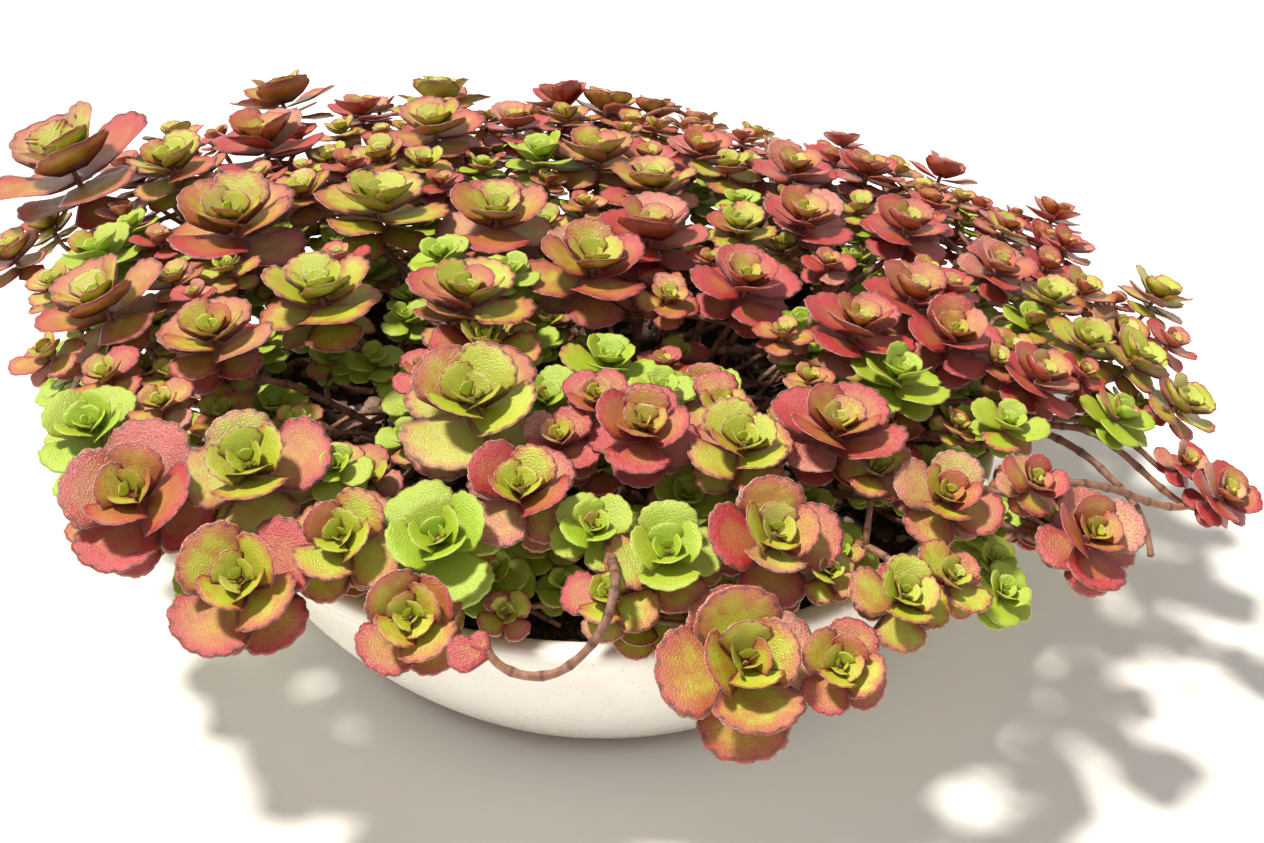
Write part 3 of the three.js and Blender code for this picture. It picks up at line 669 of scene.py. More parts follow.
def tube_faces(sides, rings):
    """The faces of a tube of rings whose two poles, the lower one first, come last."""
    quads = np.concatenate([ring_faces(sides, row * sides, (row + 1) * sides) for row in range(rings - 1)])
    fans = np.concatenate([
        fan_faces(sides, 0, rings * sides, inwards=True),
        fan_faces(sides, (rings - 1) * sides, rings * sides + 1),
    ])
    return quads, fans


class Batch:
    """Corners, faces and the values that the materials read, gathered for one piece."""

    MARKS = ("rim", "along", "turn", "blush", "youth", "edge", "shade", "under")

    def __init__(self):
        self.places = []
        self.quads = []
        self.fans = []
        self.quad_looks = []
        self.fan_looks = []
        self.marks = {name: [] for name in self.MARKS}
        self.count = 0

    def add(self, places, quads, fans, look, **marks):
        self.places.append(places)
        self.quads.append(np.asarray(quads).reshape(-1, 4) + self.count)
        self.fans.append(np.asarray(fans).reshape(-1, 3) + self.count)
        self.quad_looks.append(np.full(len(self.quads[-1]), look))
        self.fan_looks.append(np.full(len(self.fans[-1]), look))
        for name in self.MARKS:
            self.marks[name].append(np.broadcast_to(np.asarray(marks.get(name, 0), float), len(places)))
        self.count += len(places)

    def mesh(self, name):
        """A mesh of all that was added, in metres."""
        mesh = bpy.data.meshes.new(name)
        faces = np.concatenate(self.quads).tolist() + np.concatenate(self.fans).tolist()
        mesh.from_pydata(np.concatenate(self.places) * MM, [], faces)
        return mesh

    def build(self, name, materials, slot, replaced=()):
        """Makes the piece, with its materials and the values that they read."""
        mesh = self.mesh(name)
        for mark, values in self.marks.items():
            layer = mesh.attributes.new(mark, "FLOAT", "POINT")
            layer.data.foreach_set("value", np.concatenate(values).astype(np.float32))
        for material in materials:
            mesh.materials.append(material)
        looks = np.concatenate([*self.quad_looks, *self.fan_looks]).astype(np.int32)
        mesh.polygons.foreach_set("material_index", looks)
        mesh.update()
        mesh.shade_smooth()
        finish_piece(name, mesh, slot, replaced)


def in_scene(name, data):
    made = bpy.data.objects.new(name, data)
    bpy.context.scene.collection.objects.link(made)
    return made


def finish_piece(name, mesh, slot, replaced=()):
    piece = in_scene(name, mesh)
    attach(piece, "root")
    if replaced:
        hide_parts(*replaced)


def add_leaf(batch, leaf, scallops, depth, fine=3):
    """A fleshy blade: a lens over the outline, with a ring between its middle and its rim."""
    along, across, turn = outline(scallops, depth, fine)
    across = across * leaf["width"]
    count = len(along)
    middle = OUTLINE["widest"]
    thick = leaf["thickness"]
    phase = 2 * math.pi * draw(leaf["key"], 21)
    angle = np.arctan2(across, along - middle)
    wave = LENS["wave"] * leaf["length"] * np.sin(3 * angle + phase)

    def ring(share, lift):
        return on_blade(leaf, middle + (along - middle) * share, across * share, lift + wave * share ** 2)

    def pole(lift):
        return on_blade(leaf, np.array([middle]), np.zeros(1), np.array([lift]))

    inner, outer = RINGS["inner"], RINGS["outer"]
    places = np.concatenate([
        ring(1, np.zeros(count)),
        ring(outer, np.full(count, LENS["outer"] * thick)),
        ring(inner, np.full(count, LENS["inner"] * thick)),
        pole(LENS["top"] * thick),
        pole(LENS["bottom"] * thick),
    ])
    quads = np.concatenate([ring_faces(count, 0, count), ring_faces(count, count, 2 * count)])
    fans = np.concatenate([
        fan_faces(count, 2 * count, 3 * count),
        fan_faces(count, 0, 3 * count + 1, inwards=True),
    ])
    batch.add(
        places, quads, fans, 0,
        rim=np.concatenate([np.ones(count), np.full(count, outer), np.full(count, inner), [0, 0]]),
        along=np.concatenate([along, *[middle + (along - middle) * part for part in (outer, inner)],
                              [middle, middle]]),
        turn=np.concatenate([turn, turn, turn, [0, 0]]),
        under=np.concatenate([np.full(count, 0.3), np.zeros(2 * count), [0, 1]]),
        blush=leaf["blush"], youth=leaf["youth"], edge=leaf["edge"],
        shade=leaf.get("shade", draw(leaf["key"], 22)),
    )


def smooth_path(points, spacing):
    """A cubic Hermite curve through the points, by the length of its chords, in even steps."""
    points = np.asarray(points, float)
    chords = np.linalg.norm(np.diff(points, axis=0), axis=1)
    reach = np.concatenate([[0], np.cumsum(chords)])
    slopes = np.gradient(points, reach, axis=0)
    count = max(3, int(reach[-1] / spacing) + 1)
    wanted = np.linspace(0, reach[-1], count)
    row = np.clip(np.searchsorted(reach, wanted, side="right") - 1, 0, len(points) - 2)
    chord = chords[row][:, None]
    share = ((wanted - reach[row]) / chords[row])[:, None]
    return (
        points[row] * (2 * share ** 3 - 3 * share ** 2 + 1)
        + slopes[row] * chord * (share ** 3 - 2 * share ** 2 + share)
        + points[row + 1] * (3 * share ** 2 - 2 * share ** 3)
        + slopes[row + 1] * chord * (share ** 3 - share ** 2)
    )


def add_tube(batch, path, radii, look, sides=6, turn=0, **marks):
    """A round section carried along a path, its side kept square to the path from step to
    step, with a pole at each end."""
    path = np.asarray(path, float)
    ways = np.gradient(path, axis=0)
    ways /= np.linalg.norm(ways, axis=1)[:, None]
    side = np.cross(ways[0], vec(0.31, 0.87, 0.38))
    rows = []
    for way in ways:
        side = unit(side - way * np.dot(side, way))
        rows.append(side)
    side = np.array(rows)
    across = np.cross(ways, side)
    angle = 2 * math.pi * np.arange(sides) / sides
    radii = np.broadcast_to(radii, len(path))[:, None, None]
    ring = side[:, None] * np.cos(angle)[None, :, None] + across[:, None] * np.sin(angle)[None, :, None]
    places = (path[:, None] + radii * ring).reshape(-1, 3)
    ends = np.stack([path[0] - ways[0] * radii[0, 0] * 0.5, path[-1] + ways[-1] * radii[-1, 0] * 0.5])
    count = len(path)
    share = np.linspace(0, 1, count)
    turn = np.broadcast_to(turn, count)
    batch.add(
        np.concatenate([places, ends]), *tube_faces(sides, count), look,
        along=np.concatenate([np.repeat(share, sides), [0, 1]]),
        turn=np.concatenate([np.repeat(turn, sides), [turn[0], turn[-1]]]),
        **marks,
    )


# A joint stands proud of the stalk at every so many steps of its path.
JOINTS = {"spacing": 2.2, "every": 4, "proud": 0.2}


def add_stalk(batch, points, thick, thin, key, look=1):
    """A round stalk that thins to its tip, with a raised joint where leaves once grew."""
    path = smooth_path(points, JOINTS["spacing"])
    steps = np.arange(len(path))
    offset = int(4 * draw(key, 23))
    joint = (steps + offset) % JOINTS["every"] == 0
    radii = np.linspace(thick, thin, len(path)) * np.where(joint, 1 + JOINTS["proud"], 1)
    add_tube(batch, path, radii, look, turn=(steps + offset) / JOINTS["every"],
             shade=draw(key, 24))


class Crowd:
    """The leaves set so far, to tell whether a new one is clear of them."""

    RIM = np.radians(np.arange(0, 360, 45))
    FOOT, HALF, NARROW = 0.06, 0.44, 0.8

    def __init__(self):
        self.middles = np.empty((0, 3))
        self.reaches = np.empty(0)
        self.owners = []
        self.trees = []

    @classmethod
    def tree(cls, leaf):
        """A plain lens with eight corners round its rim, to test a leaf by."""
        middle = OUTLINE["widest"]
        cosine, count = np.cos(cls.RIM), len(cls.RIM)
        along = middle + np.where(cosine > 0, OUTLINE["tip"], middle - cls.FOOT) * cosine
        across = cls.HALF * leaf["width"] * np.sin(cls.RIM) * np.where(cosine < -0.1, cls.NARROW, 1)
        lifts = leaf["thickness"] * np.array([LENS["top"], LENS["bottom"]])
        places = np.concatenate([
            on_blade(leaf, along, across, np.zeros(count)),
            on_blade(leaf, np.full(2, middle), np.zeros(2), lifts),
        ])
        faces = np.concatenate([fan_faces(count, 0, count), fan_faces(count, 0, count + 1, inwards=True)])
        centre = places.mean(0)
        reach = float(np.linalg.norm(places - centre, axis=1).max())
        return BVHTree.FromPolygons(places.tolist(), faces.tolist()), centre, reach

    def add(self, leaf, owner, made=None):
        tree, centre, reach = made or self.tree(leaf)
        self.middles = np.vstack([self.middles, centre])
        self.reaches = np.append(self.reaches, reach)
        self.owners.append(owner)
        self.trees.append(tree)

    def clear(self, leaf, owner):
        """The leaf's own shell if it touches no other shoot's leaf, and nothing if it does."""
        made = self.tree(leaf)
        tree, centre, reach = made
        near = np.linalg.norm(self.middles - centre, axis=1) < self.reaches + reach
        for row in np.flatnonzero(near):
            if self.owners[row] != owner and tree.overlap(self.trees[row]):
                return None
        return made


# How the leaves' colour and form change from the outermost, at 0, to the innermost, at 1:
# the extra red of some, the red of the margin and of the blade and how they fade, the play
# of the red, the turn in degrees, how young and how tucked in they are, and their width.
DRESS = {
    "flush": (0.25, 0.65), "edge": 1.6, "edge_fade": 0.15, "fade": 0.88, "fade_power": 0.7,
    "play": 0.24, "yaw": (24, 14), "youth": 0.4, "tuck": 0.12, "width": (1.18, 1.32),
}


def dress_leaf(leaf, shoot, settings):
    """A leaf's colour and cup by its place in the rosette: the innermost leaves stay lime
    while their margins are as red as the rosette's tone."""
    height = shoot.height(leaf["band"])
    tone = TONES[shoot.tone]
    play = draw(leaf["key"], 25) - 0.5
    flushed = draw(leaf["key"], 26) < settings.flush * (1 - height)
    flush = blend(*DRESS["flush"], draw(leaf["key"], 28)) if flushed else 0
    leaf["edge"] = min(1, DRESS["edge"] * tone["blush"] * (1 - DRESS["edge_fade"] * height) + flush)
    leaf["blush"] = (
        tone["blush"] * (1 - DRESS["fade"] * height ** DRESS["fade_power"])
        + DRESS["play"] * play * (1 - height) + flush
    )
    yaw = math.radians(blend(*DRESS["yaw"], height)) * (draw(leaf["key"], 27) - 0.5)
    leaf["out"] = turned(leaf["out"], leaf["up"], yaw)
    leaf["across"] = turned(leaf["across"], leaf["up"], yaw)
    leaf["youth"] = tone["youth"] + DRESS["youth"] * (1 - tone["youth"]) * height
    leaf["cup"] = settings.cup + settings.wrap * height
    leaf["tuck"] = DRESS["tuck"] * height
    leaf["inward"] = 1
    leaf["width"] = blend(*DRESS["width"], height)
    return leaf


def fill_out(shoot, crowd, settings):
    """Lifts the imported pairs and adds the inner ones."""
    shoot.leaves = [bent(leaf, *LIFTED[shoot.size][leaf["band"]]) for leaf in shoot.leaves]
    for leaf in shoot.leaves:
        crowd.add(dress_leaf(leaf, shoot, settings), shoot.key)
    add_inner(shoot, settings)


def add_inner(shoot, settings):
    """The innermost pairs, which are packed closer along the stalk than the others."""
    for leaf in pair_leaves(shoot, INNER_PAIRS[shoot.size]):
        rise = HEART["start"] + HEART["pitch"] * (leaf["band"] - len(shoot.pairs))
        leaf["base"] = shoot.on_axis(rise) + leaf["out"] * HEART["out"] * shoot.radius
        leaf["thickness"] = HEART["thickness"]
        shoot.leaves.append(dress_leaf(leaf, shoot, settings))


def add_clear(leaf, shoot, crowd):
    """Adds the leaf with the first bend that clears every other shoot's leaves, if one does."""
    for bend in TRIES:
        tried = bent(leaf, *bend)
        made = crowd.clear(tried, shoot.key)
        if made:
            crowd.add(tried, shoot.key, made)
            shoot.leaves.append(tried)
            return


def add_outer(shoot, crowd, settings):
    for leaf in pair_leaves(shoot, OUTER_PAIRS[shoot.size]):
        add_clear(dress_leaf(leaf, shoot, settings), shoot, crowd)


def add_shoot(batch, shoot, settings, fine=3):
    """A shoot's leaves and its stalk, from its foot or its fork to its crown."""
    for leaf in shoot.leaves:
        scallops = max(3, min(7, round(leaf["length"] / settings.scallop)))
        add_leaf(batch, leaf, scallops, settings.notch, fine=fine)
    thick = STALK["width"] / 2 if shoot.rooted else STALK["branch"] / 2
    points = [*shoot.route, shoot.on_axis(-len(shoot.pairs)), shoot.on_axis(0.5)]
    add_stalk(batch, points, 1.08 * thick, 0.95 * thick, shoot.key)


# Where the photograph shows soil and bare stalks between the rosettes: the middle and the
# half width and height of each patch, in its pixels.
BARE_PATCHES = (
    (305, 414, 92, 44), (705, 332, 66, 26), (600, 320, 30, 20), (925, 440, 50, 20),
    (1090, 440, 70, 24),
)


# The clump's outline in the photograph, which the fill's crowns keep inside.
CLUMP_EDGE = (
    (36, 215), (60, 150), (240, 104), (420, 80), (560, 80), (690, 112), (830, 150), (960, 170),
    (1062, 240), (1165, 335), (1195, 400), (1160, 435), (1040, 400), (1000, 470), (1080, 500),
    (1095, 565), (985, 600), (850, 690), (740, 700), (660, 640), (520, 625), (440, 660),
    (330, 600), (240, 620), (180, 580), (80, 520), (50, 440), (60, 330),
)


def is_inside(u, v, edge):
    """Whether a ray to the right of a place crosses the closed edge an odd number of times."""
    x, y = np.array(edge, float).T
    x2, y2 = np.roll(x, -1), np.roll(y, -1)
    crosses = (y > v) != (y2 > v)
    at_height = x + (v - y) * (x2 - x) / np.where(y2 == y, 1, y2 - y)
    return bool(np.sum(crosses & (u < at_height)) % 2)


def is_bare(place):
    u, v = pixel_of(place)[0]
    within = any(((u - x) / wide) ** 2 + ((v - y) / high) ** 2 < 1 for x, y, wide, high in BARE_PATCHES)
    return within or not is_inside(u, v, CLUMP_EDGE)


# Where the fill shoots are parted into left and right, and into front and back.
FILL_PARTED = (-15, 0)
FEWEST_LEAVES = 3

# The fill's crowns: the draw from which they lie deep, the distance from the middle within
# which they stand over soil, and how low they may stand over it and over the pot's rim.
FILL_LIFT = {"split": 0.4, "inside": 128, "soil": 9, "rim": POT["height"] + 10}

# The leaves low over the pot's rim and outside it, which hide the floor below the clump.
UNDER = {
    "spacing": 13, "depths": (20, 38), "radii": (11, 15), "from": 112, "front": -95, "share": 0.93,
    "lowest": 84, "apart": 0.6,
}


GRID = {"front": -200, "back": 231, "left": -250, "right": 251, "columns": 60}


def shuffled_grid(spacing, first):
    """A key and a place in plan for each cell of a grid, its odd rows shifted by half a cell."""
    for row, y in enumerate(np.arange(GRID["front"], GRID["back"], spacing)):
        for column, x in enumerate(np.arange(GRID["left"], GRID["right"], spacing)):
            key = first + row * GRID["columns"] + column
            shift = spacing * (draw(key, 31) - 0.5 + 0.5 * (row % 2))
            yield key, vec(x + shift, y + spacing * (draw(key, 32) - 0.5), 0)


def fill_shoots(crowns, settings):
    """Crowns on a shuffled grid in plan, sunk below the canopy by a random depth, apart from
    the bare patches and from every crown that is too near, and a lower layer of them."""
    shoots = []
    taken = [(shoot.place, shoot.radius) for shoot in crowns]

    def settle(key, place, radius, sunk, apart):
        if all(np.linalg.norm(place - other) >= apart * (radius + size) for other, size in taken):
            shoots.append(Shoot(key, place, radius, pick_tone(place, key, sunk)))
            taken.append((place, radius))

    for key, place in shuffled_grid(settings.spacing, 3000):
        share, height = canopy_at(place)
        sunk = draw(key, 33)
        sunk = 0.5 * sunk if sunk < FILL_LIFT["split"] else FILL_LIFT["split"] + sunk
        depth = blend(settings.shallow, settings.deep, sunk)
        inside = math.hypot(*place[:2]) < FILL_LIFT["inside"]
        lowest = float(soil_height(*place[:2])) + FILL_LIFT["soil"] if inside else FILL_LIFT["rim"]
        place[2] = max(height - depth, lowest)
        if share < settings.reach and not is_bare(place):
            radius = blend(settings.small, settings.big, draw(key, 34))
            settle(key, place, radius, depth / settings.deep, settings.apart)
    for key, place in shuffled_grid(UNDER["spacing"], 9000):
        share, height = canopy_at(place)
        place[2] = max(height - blend(*UNDER["depths"], draw(key, 33)), UNDER["lowest"])
        outside = math.hypot(*place[:2]) > UNDER["from"] and place[1] > UNDER["front"]
        if outside and share < UNDER["share"] and is_inside(*pixel_of(place)[0], CLUMP_EDGE):
            settle(key, place, blend(*UNDER["radii"], draw(key, 34)), 1, UNDER["apart"])
    return shoots


# How much redder the fill shoots are when high, to the right and the back, and at the edge,
# and the share of the red ones that are deep red.
REDDEN = {"high": 0.75, "way": (0.0012, 0.001), "edge": 0.3, "deep": 0.45}


def pick_tone(place, key, sunk):
    """Deep shoots are mostly green and lime. Shallow ones, and those to the right, to the back
    and at the edge, are redder."""
    share, _ = canopy_at(place)
    red = REDDEN["high"] * (1 - sunk) + np.dot(REDDEN["way"], place[:2]) + REDDEN["edge"] * share ** 4
    chance = draw(key, 35)
    if chance < red * REDDEN["deep"]:
        return RED
    if chance < red:
        return PINK
    return LIME if chance < 0.4 + 0.6 * red else YOUNG


# Where stalks may branch from: the places' spacing, their least height over the soil and the
# share of the stalk that has them. How steeply a side stalk rises at the least, with what a
# flatter one is put back by, how near its root is to its neck in plan and how far it strays,
# the reach of the roots, the share of a branch below which it roots instead, and its droop.
BRANCH = {
    "spacing": 3, "clear": 3, "share": 0.85, "steep": 0.3, "put_back": 150, "drawn": 0.94,
    "stray": 6, "reach": 122, "shorter": 0.9, "droop": -0.12, "sway": 0.4,
}


def fork_places(stems):
    """Places along the rooted stalks that younger shoots may branch from."""
    places = []
    for stem in stems:
        path = smooth_path([*stem[0].route, stem[0].place], BRANCH["spacing"])
        clear = path[:, 2] > soil_height(path[:, 0], path[:, 1]) + BRANCH["clear"]
        places.append(path[clear & (np.arange(len(path)) < BRANCH["share"] * len(path))])
    return np.concatenate(places)


def fill_route(shoot, forks):
    """A side stalk from the nearest place lower down on an older stalk, or from the soil."""
    neck = shoot.on_axis(-len(shoot.pairs) - 1)
    ways = neck - forks
    reach = np.linalg.norm(ways, axis=1)
    flat = ways[:, 2] < BRANCH["steep"] * reach
    start = forks[int(np.argmin(reach + np.where(flat, BRANCH["put_back"], 0)))]
    stray = vec(draw(shoot.key, 36), draw(shoot.key, 37)) - 0.5
    root = neck[:2] * BRANCH["drawn"] + BRANCH["stray"] * stray
    ground = float(soil_height(*root))
    shorter = neck[2] - ground < BRANCH["shorter"] * np.linalg.norm(neck - start)
    if np.linalg.norm(root) < BRANCH["reach"] and shorter:
        start = vec(*root, ground - 2)
    span = neck - start
    side = unit(np.cross(span, vec(0, 0, 1)) + vec(1e-6, 0, 0)) * (draw(shoot.key, 38) - 0.5)
    droop = vec(0, 0, BRANCH["droop"]) + side * BRANCH["sway"]
    return [start, start + span * 0.5 + droop * np.linalg.norm(span), neck]


def grow_fill(stems, crowd, settings, leaf_settings):
    """The fill shoots with the leaves that find a clear place, apart from those with too few."""
    grown = []
    forks = fork_places(stems)
    for shoot in fill_shoots([shoot for stem in stems for shoot in stem], settings):
        shoot.route = fill_route(shoot, forks)
        for leaf in pair_leaves(shoot, shoot.bands):
            add_clear(dress_leaf(leaf, shoot, leaf_settings), shoot, crowd)
        if len(shoot.leaves) >= FEWEST_LEAVES:
            add_inner(shoot, leaf_settings)
            add_outer(shoot, crowd, leaf_settings)
            grown.append(shoot)
    return grown


def end_leaf(place, way, length, tone):
    """A leaf at a bare stalk's end, level with that stalk and turned up to the front."""
    up = vec(0.1, -0.6, 0.8)
    out = unit(way - up * np.dot(way, up))
    blush = TONES[tone]["blush"]
    return {
        "key": 720 + length, "base": place, "out": out, "up": up, "across": np.cross(up, out),
        "length": length, "rise": 0, "thickness": BLADE["thickness"], "width": 1.0, "cup": 0.12,
        "tuck": 0.0, "inward": 1, "blush": blush, "youth": TONES[tone]["youth"], "edge": blush, "shade": 0.3,
    }


def outward(places, quads, fans):
    """The faces, all turned over if the solid that they close has a negative volume."""
    corners_of = places[np.concatenate([quads[:, :3], quads[:, [0, 2, 3]], fans])]
    volume = np.einsum("ij,ij->i", corners_of[:, 0], np.cross(corners_of[:, 1], corners_of[:, 2])).sum()
    return (quads, fans) if volume > 0 else (quads[:, ::-1], fans[:, ::-1])


def lathe(profile, sides):
    """A profile of radii and heights carried round the upright axis, closed by its two poles."""
    profile = np.asarray(profile, float)
    angle = 2 * math.pi * np.arange(sides) / sides
    rings = profile[1:-1]
    places = np.stack([
        np.multiply.outer(rings[:, 0], np.cos(angle)),
        np.multiply.outer(rings[:, 0], np.sin(angle)),
        np.repeat(rings[:, 1:], sides, axis=1),
    ], -1).reshape(-1, 3)
    places = np.concatenate([places, [[0, 0, profile[0, 1]], [0, 0, profile[-1, 1]]]])
    return places, *outward(places, *tube_faces(sides, len(rings)))


def bowl_radius(height):
    """A quarter sine of the height to a power: steep at the foot and upright at the rim."""
    share = np.sin(math.pi / 2 * np.asarray(height) / POT["height"]) ** 0.9
    return POT["foot"] + (POT["rim"] - POT["foot"]) * share


def pot_profile():
    """From the middle of the foot out and up the bowl, over its rounded lip and down inside."""
    brim = POT["rim"] + POT["lip"]
    high = POT["height"]
    rise = np.linspace(0.04, 1, 22) * (high - 8)
    outside = np.stack([bowl_radius(rise), rise], 1)
    wide = POT["foot"]
    foot = [[0, 1.2], [wide - 12, 1.2], [wide - 10, 0], [wide - 2, 0], [wide - 0.4, 0.6]]
    lip = [
        [brim - 1.2, high - 7.2], [brim - 0.2, high - 6.2], [brim, high - 4], [brim - 0.2, high - 1.8],
        [brim - 0.9, high - 0.7], [brim - 2.2, high - 0.1], [brim - 4.5, high],
        [brim - 6.8, high - 0.3], [brim - 8.2, high - 1.2], [brim - 9, high - 3],
    ]
    fall = np.linspace(0.94, 0.42, 12) * high
    inside = np.stack([bowl_radius(fall) - POT["wall"], fall], 1)
    floor = [[wide, POT["floor"] + 2], [wide - 4, POT["floor"]], [0, POT["floor"]]]
    return np.concatenate([foot, outside, lip, inside, floor])


def soil_relief(x, y):
    """Fine lumps: a sum of sine waves whose ways, lengths and phases are drawn by number."""
    lumps = np.zeros_like(x)
    for wave in range(14):
        turn = math.pi * draw(wave, 41)
        length = 2.2 + 9 * draw(wave, 42) ** 1.5
        phase = 2 * math.pi * draw(wave, 43)
        along = x * math.cos(turn) + y * math.sin(turn)
        lumps += 0.055 * length ** 0.7 * np.sin(2 * math.pi * along / length + phase)
    return lumps


def soil_top(x, y):
    return soil_height(x, y) + soil_relief(x, y)


def soil_surface():
    """A plug inside the bowl whose top follows the soil's height and its lumps."""
    sides = 180
    edge = float(bowl_radius(SOIL["edge"])) - POT["wall"] - 0.8
    heights = np.linspace(POT["floor"] + 0.4, SOIL["edge"], 8)
    wall = np.stack([np.minimum(bowl_radius(heights) - POT["wall"] - 0.8, edge), heights], 1)
    wall[0, 0] = POT["foot"] - 5
    top = np.stack([np.linspace(edge, 1.5, 70), np.full(70, SOIL["edge"])], 1)
    profile = np.concatenate([[[0, POT["floor"] + 0.4]], wall, top[1:], [[0, SOIL["edge"]]]])
    places, quads, fans = lathe(profile, sides)
    rows = len(profile) - 2
    upper = np.arange(len(places)) >= (len(wall)) * sides
    upper[rows * sides] = False
    places[upper, 2] = soil_top(places[upper, 0], places[upper, 1])
    return places, quads, fans


def scattered(count, salt, reach):
    """Places in plan spread evenly over a disc: a golden turn and the root of the count."""
    row = np.arange(count)
    radius = reach * np.sqrt((row + jitter(row, salt)) / count)
    angle = row * 2.39996 + 0.6 * jitter(row, salt + 1)
    return radius * np.cos(angle), radius * np.sin(angle)


def rolled(places, one, other, angles):
    """The places with two of their axes turned into each other, by an angle for each row."""
    cosine, sine = np.cos(angles)[:, None], np.sin(angles)[:, None]
    made = places.copy()
    made[..., one] = places[..., one] * cosine - places[..., other] * sine
    made[..., other] = places[..., one] * sine + places[..., other] * cosine
    return made


def crumbs(batch, count, salt, sizes, flats, power, look, lift):
    """Superellipsoids with one size, flatness, turn and tilt each, laid on the soil."""
    x, y = scattered(count, salt, bowl_radius(SOIL["edge"]) - POT["wall"] - 5)
    row = np.arange(count)
    longitude = 2 * math.pi * np.arange(8) / 8
    latitude = np.radians([-52, -18, 18, 52])
    level = signed_power(np.cos(latitude), power)
    ring = np.stack([
        np.multiply.outer(level, signed_power(np.cos(longitude), power)),
        np.multiply.outer(level, signed_power(np.sin(longitude), power)),
        np.repeat(signed_power(np.sin(latitude), power)[:, None], 8, 1),
    ], -1).reshape(-1, 3)
    shape = np.concatenate([ring, [[0, 0, -1], [0, 0, 1]]])
    length = blend(*sizes, jitter(row, salt + 2) ** 2)
    broad = length * (0.45 + 0.4 * jitter(row, salt + 3))
    thick = length * blend(*flats, jitter(row, salt + 4))
    turn = 2 * math.pi * jitter(row, salt + 5)
    tilt = 0.7 * (jitter(row, salt + 6) - 0.5)
    bumps = 1 + 0.22 * (jitter(np.add.outer(row * 37, np.arange(len(shape))), salt + 7) - 0.5)
    local = shape * bumps[..., None] * np.stack([length, broad, thick], 1)[:, None] / 2
    placed = rolled(rolled(local, 2, 0, tilt), 0, 1, turn)
    placed += np.stack([x, y, soil_top(x, y) + lift * thick], 1)[:, None]
    quads, fans = tube_faces(8, len(latitude))
    start = (len(shape) * row)[:, None, None]
    batch.add(
        placed.reshape(-1, 3), quads + start, fans + start, look,
        shade=np.repeat(jitter(row, salt + 8), len(shape)),
        along=np.tile(shape[:, 0], count),
    )


# The bare stalks that hang free of the clump: their half widths at both ends and their
# points, each a pixel of the photograph and the upright plane, at that distance along +Y,
# that its line of sight meets.
RUNNERS = (
    {"half": (1.6, 1.35), "points": (
        (600, 520, -118), (612, 560, -140), (614, 592, -160), (604, 625, -170), (582, 655, -174),
        (553, 674, -176), (522, 675, -176), (497, 663, -175), (488, 652, -174))},
    {"half": (1.35, 1.1), "points": (
        (1018, 424, -34), (1037, 430, -38), (1071, 446, -46), (1095, 463, -52), (1112, 480, -57),
        (1129, 497, -62), (1142, 519, -68), (1148, 538, -72), (1151, 556, -75))},
    {"half": (1.3, 1.25), "points": (
        (1008, 480, -72), (1058, 482, -70), (1088, 484, -69), (1122, 492, -67), (1149, 502, -65),
        (1180, 507, -63), (1200, 503, -62))},
    {"half": (1.3, 1.2), "points": (
        (1022, 418, -36), (1075, 419, -33), (1112, 417, -30), (1140, 414, -27), (1168, 409, -23))},
)
# The leaves at a bare stalk's last point: its place in the list, their way, length and tone.
RUNNER_LEAVES = (
    (0, (-1, 0.1, -0.35), 12, RED), (0, (-0.5, 0.4, 0.5), 7, RED),
    (2, (0.25, -0.3, -1), 9.5, RED), (2, (0.05, -0.35, -1), 7, RED),
)


def on_plane(u, v, y):
    """Where a pixel's line of sight meets the upright plane at a distance."""
    eye, _, _ = view_axes()
    way = sight(u, v)
    return eye + way * (y - eye[1]) / way[1]


class Graph:
    """Adds nodes to a material's or a group's tree, and links or sets their sockets."""

    def __init__(self, tree):
        self.tree = tree
        self.column = 0

    def add(self, kind, sockets=None, **settings):
        made = self.tree.nodes.new(kind)
        self.column += 1
        made.location = (180 * (self.column % 12), -220 * (self.column // 12))
        for name, value in settings.items():
            setattr(made, name, value)
        for name, value in (sockets or {}).items():
            self.put(made.inputs[name], value)
        return made

    def put(self, socket, value):
        if isinstance(value, bpy.types.NodeSocket):
            self.tree.links.new(value, socket)
        else:
            socket.default_value = value

    def math(self, operation, *values, clamp=False):
        made = self.add("ShaderNodeMath", operation=operation, use_clamp=clamp)
        for socket, value in zip(made.inputs, values):
            self.put(socket, value)
        return made.outputs[0]

    def times(self, one, other, clamp=False):
        return self.math("MULTIPLY", one, other, clamp=clamp)

    def plus(self, one, other, clamp=False):
        return self.math("ADD", one, other, clamp=clamp)

    def less(self, one, other):
        return self.math("SUBTRACT", one, other)

    def mix(self, share, one, other):
        made = self.add("ShaderNodeMix", data_type="RGBA", clamp_factor=True)
        self.put(made.inputs[0], share)
        self.put(made.inputs[6], one)
        self.put(made.inputs[7], other)
        return made.outputs[2]

    def ease(self, value, low, high):
        """From 0 at the low value to 1 at the high one, smoothly."""
        made = self.add("ShaderNodeMapRange", interpolation_type="SMOOTHSTEP")
        for name, number in (("Value", value), ("From Min", low), ("From Max", high)):
            self.put(made.inputs[name], number)
        return made.outputs["Result"]

    def noise(self, scale, detail, roughness, where):
        sockets = {"Scale": scale, "Detail": detail, "Roughness": roughness, "Vector": where}
        return self.add("ShaderNodeTexNoise", sockets).outputs["Fac"]

    def mark(self, name):
        return self.add("ShaderNodeAttribute", attribute_name=name).outputs["Fac"]

    def place(self):
        return self.add("ShaderNodeTexCoord").outputs["Object"]


def tint(text):
    """The linear colour, with an alpha of 1, of a colour written as six hexadecimal digits."""
    parts = [int(text[place:place + 2], 16) / 255 for place in (0, 2, 4)]
    return (*[part / 12.92 if part <= 0.04045 else ((part + 0.055) / 1.055) ** 2.4 for part in parts], 1)


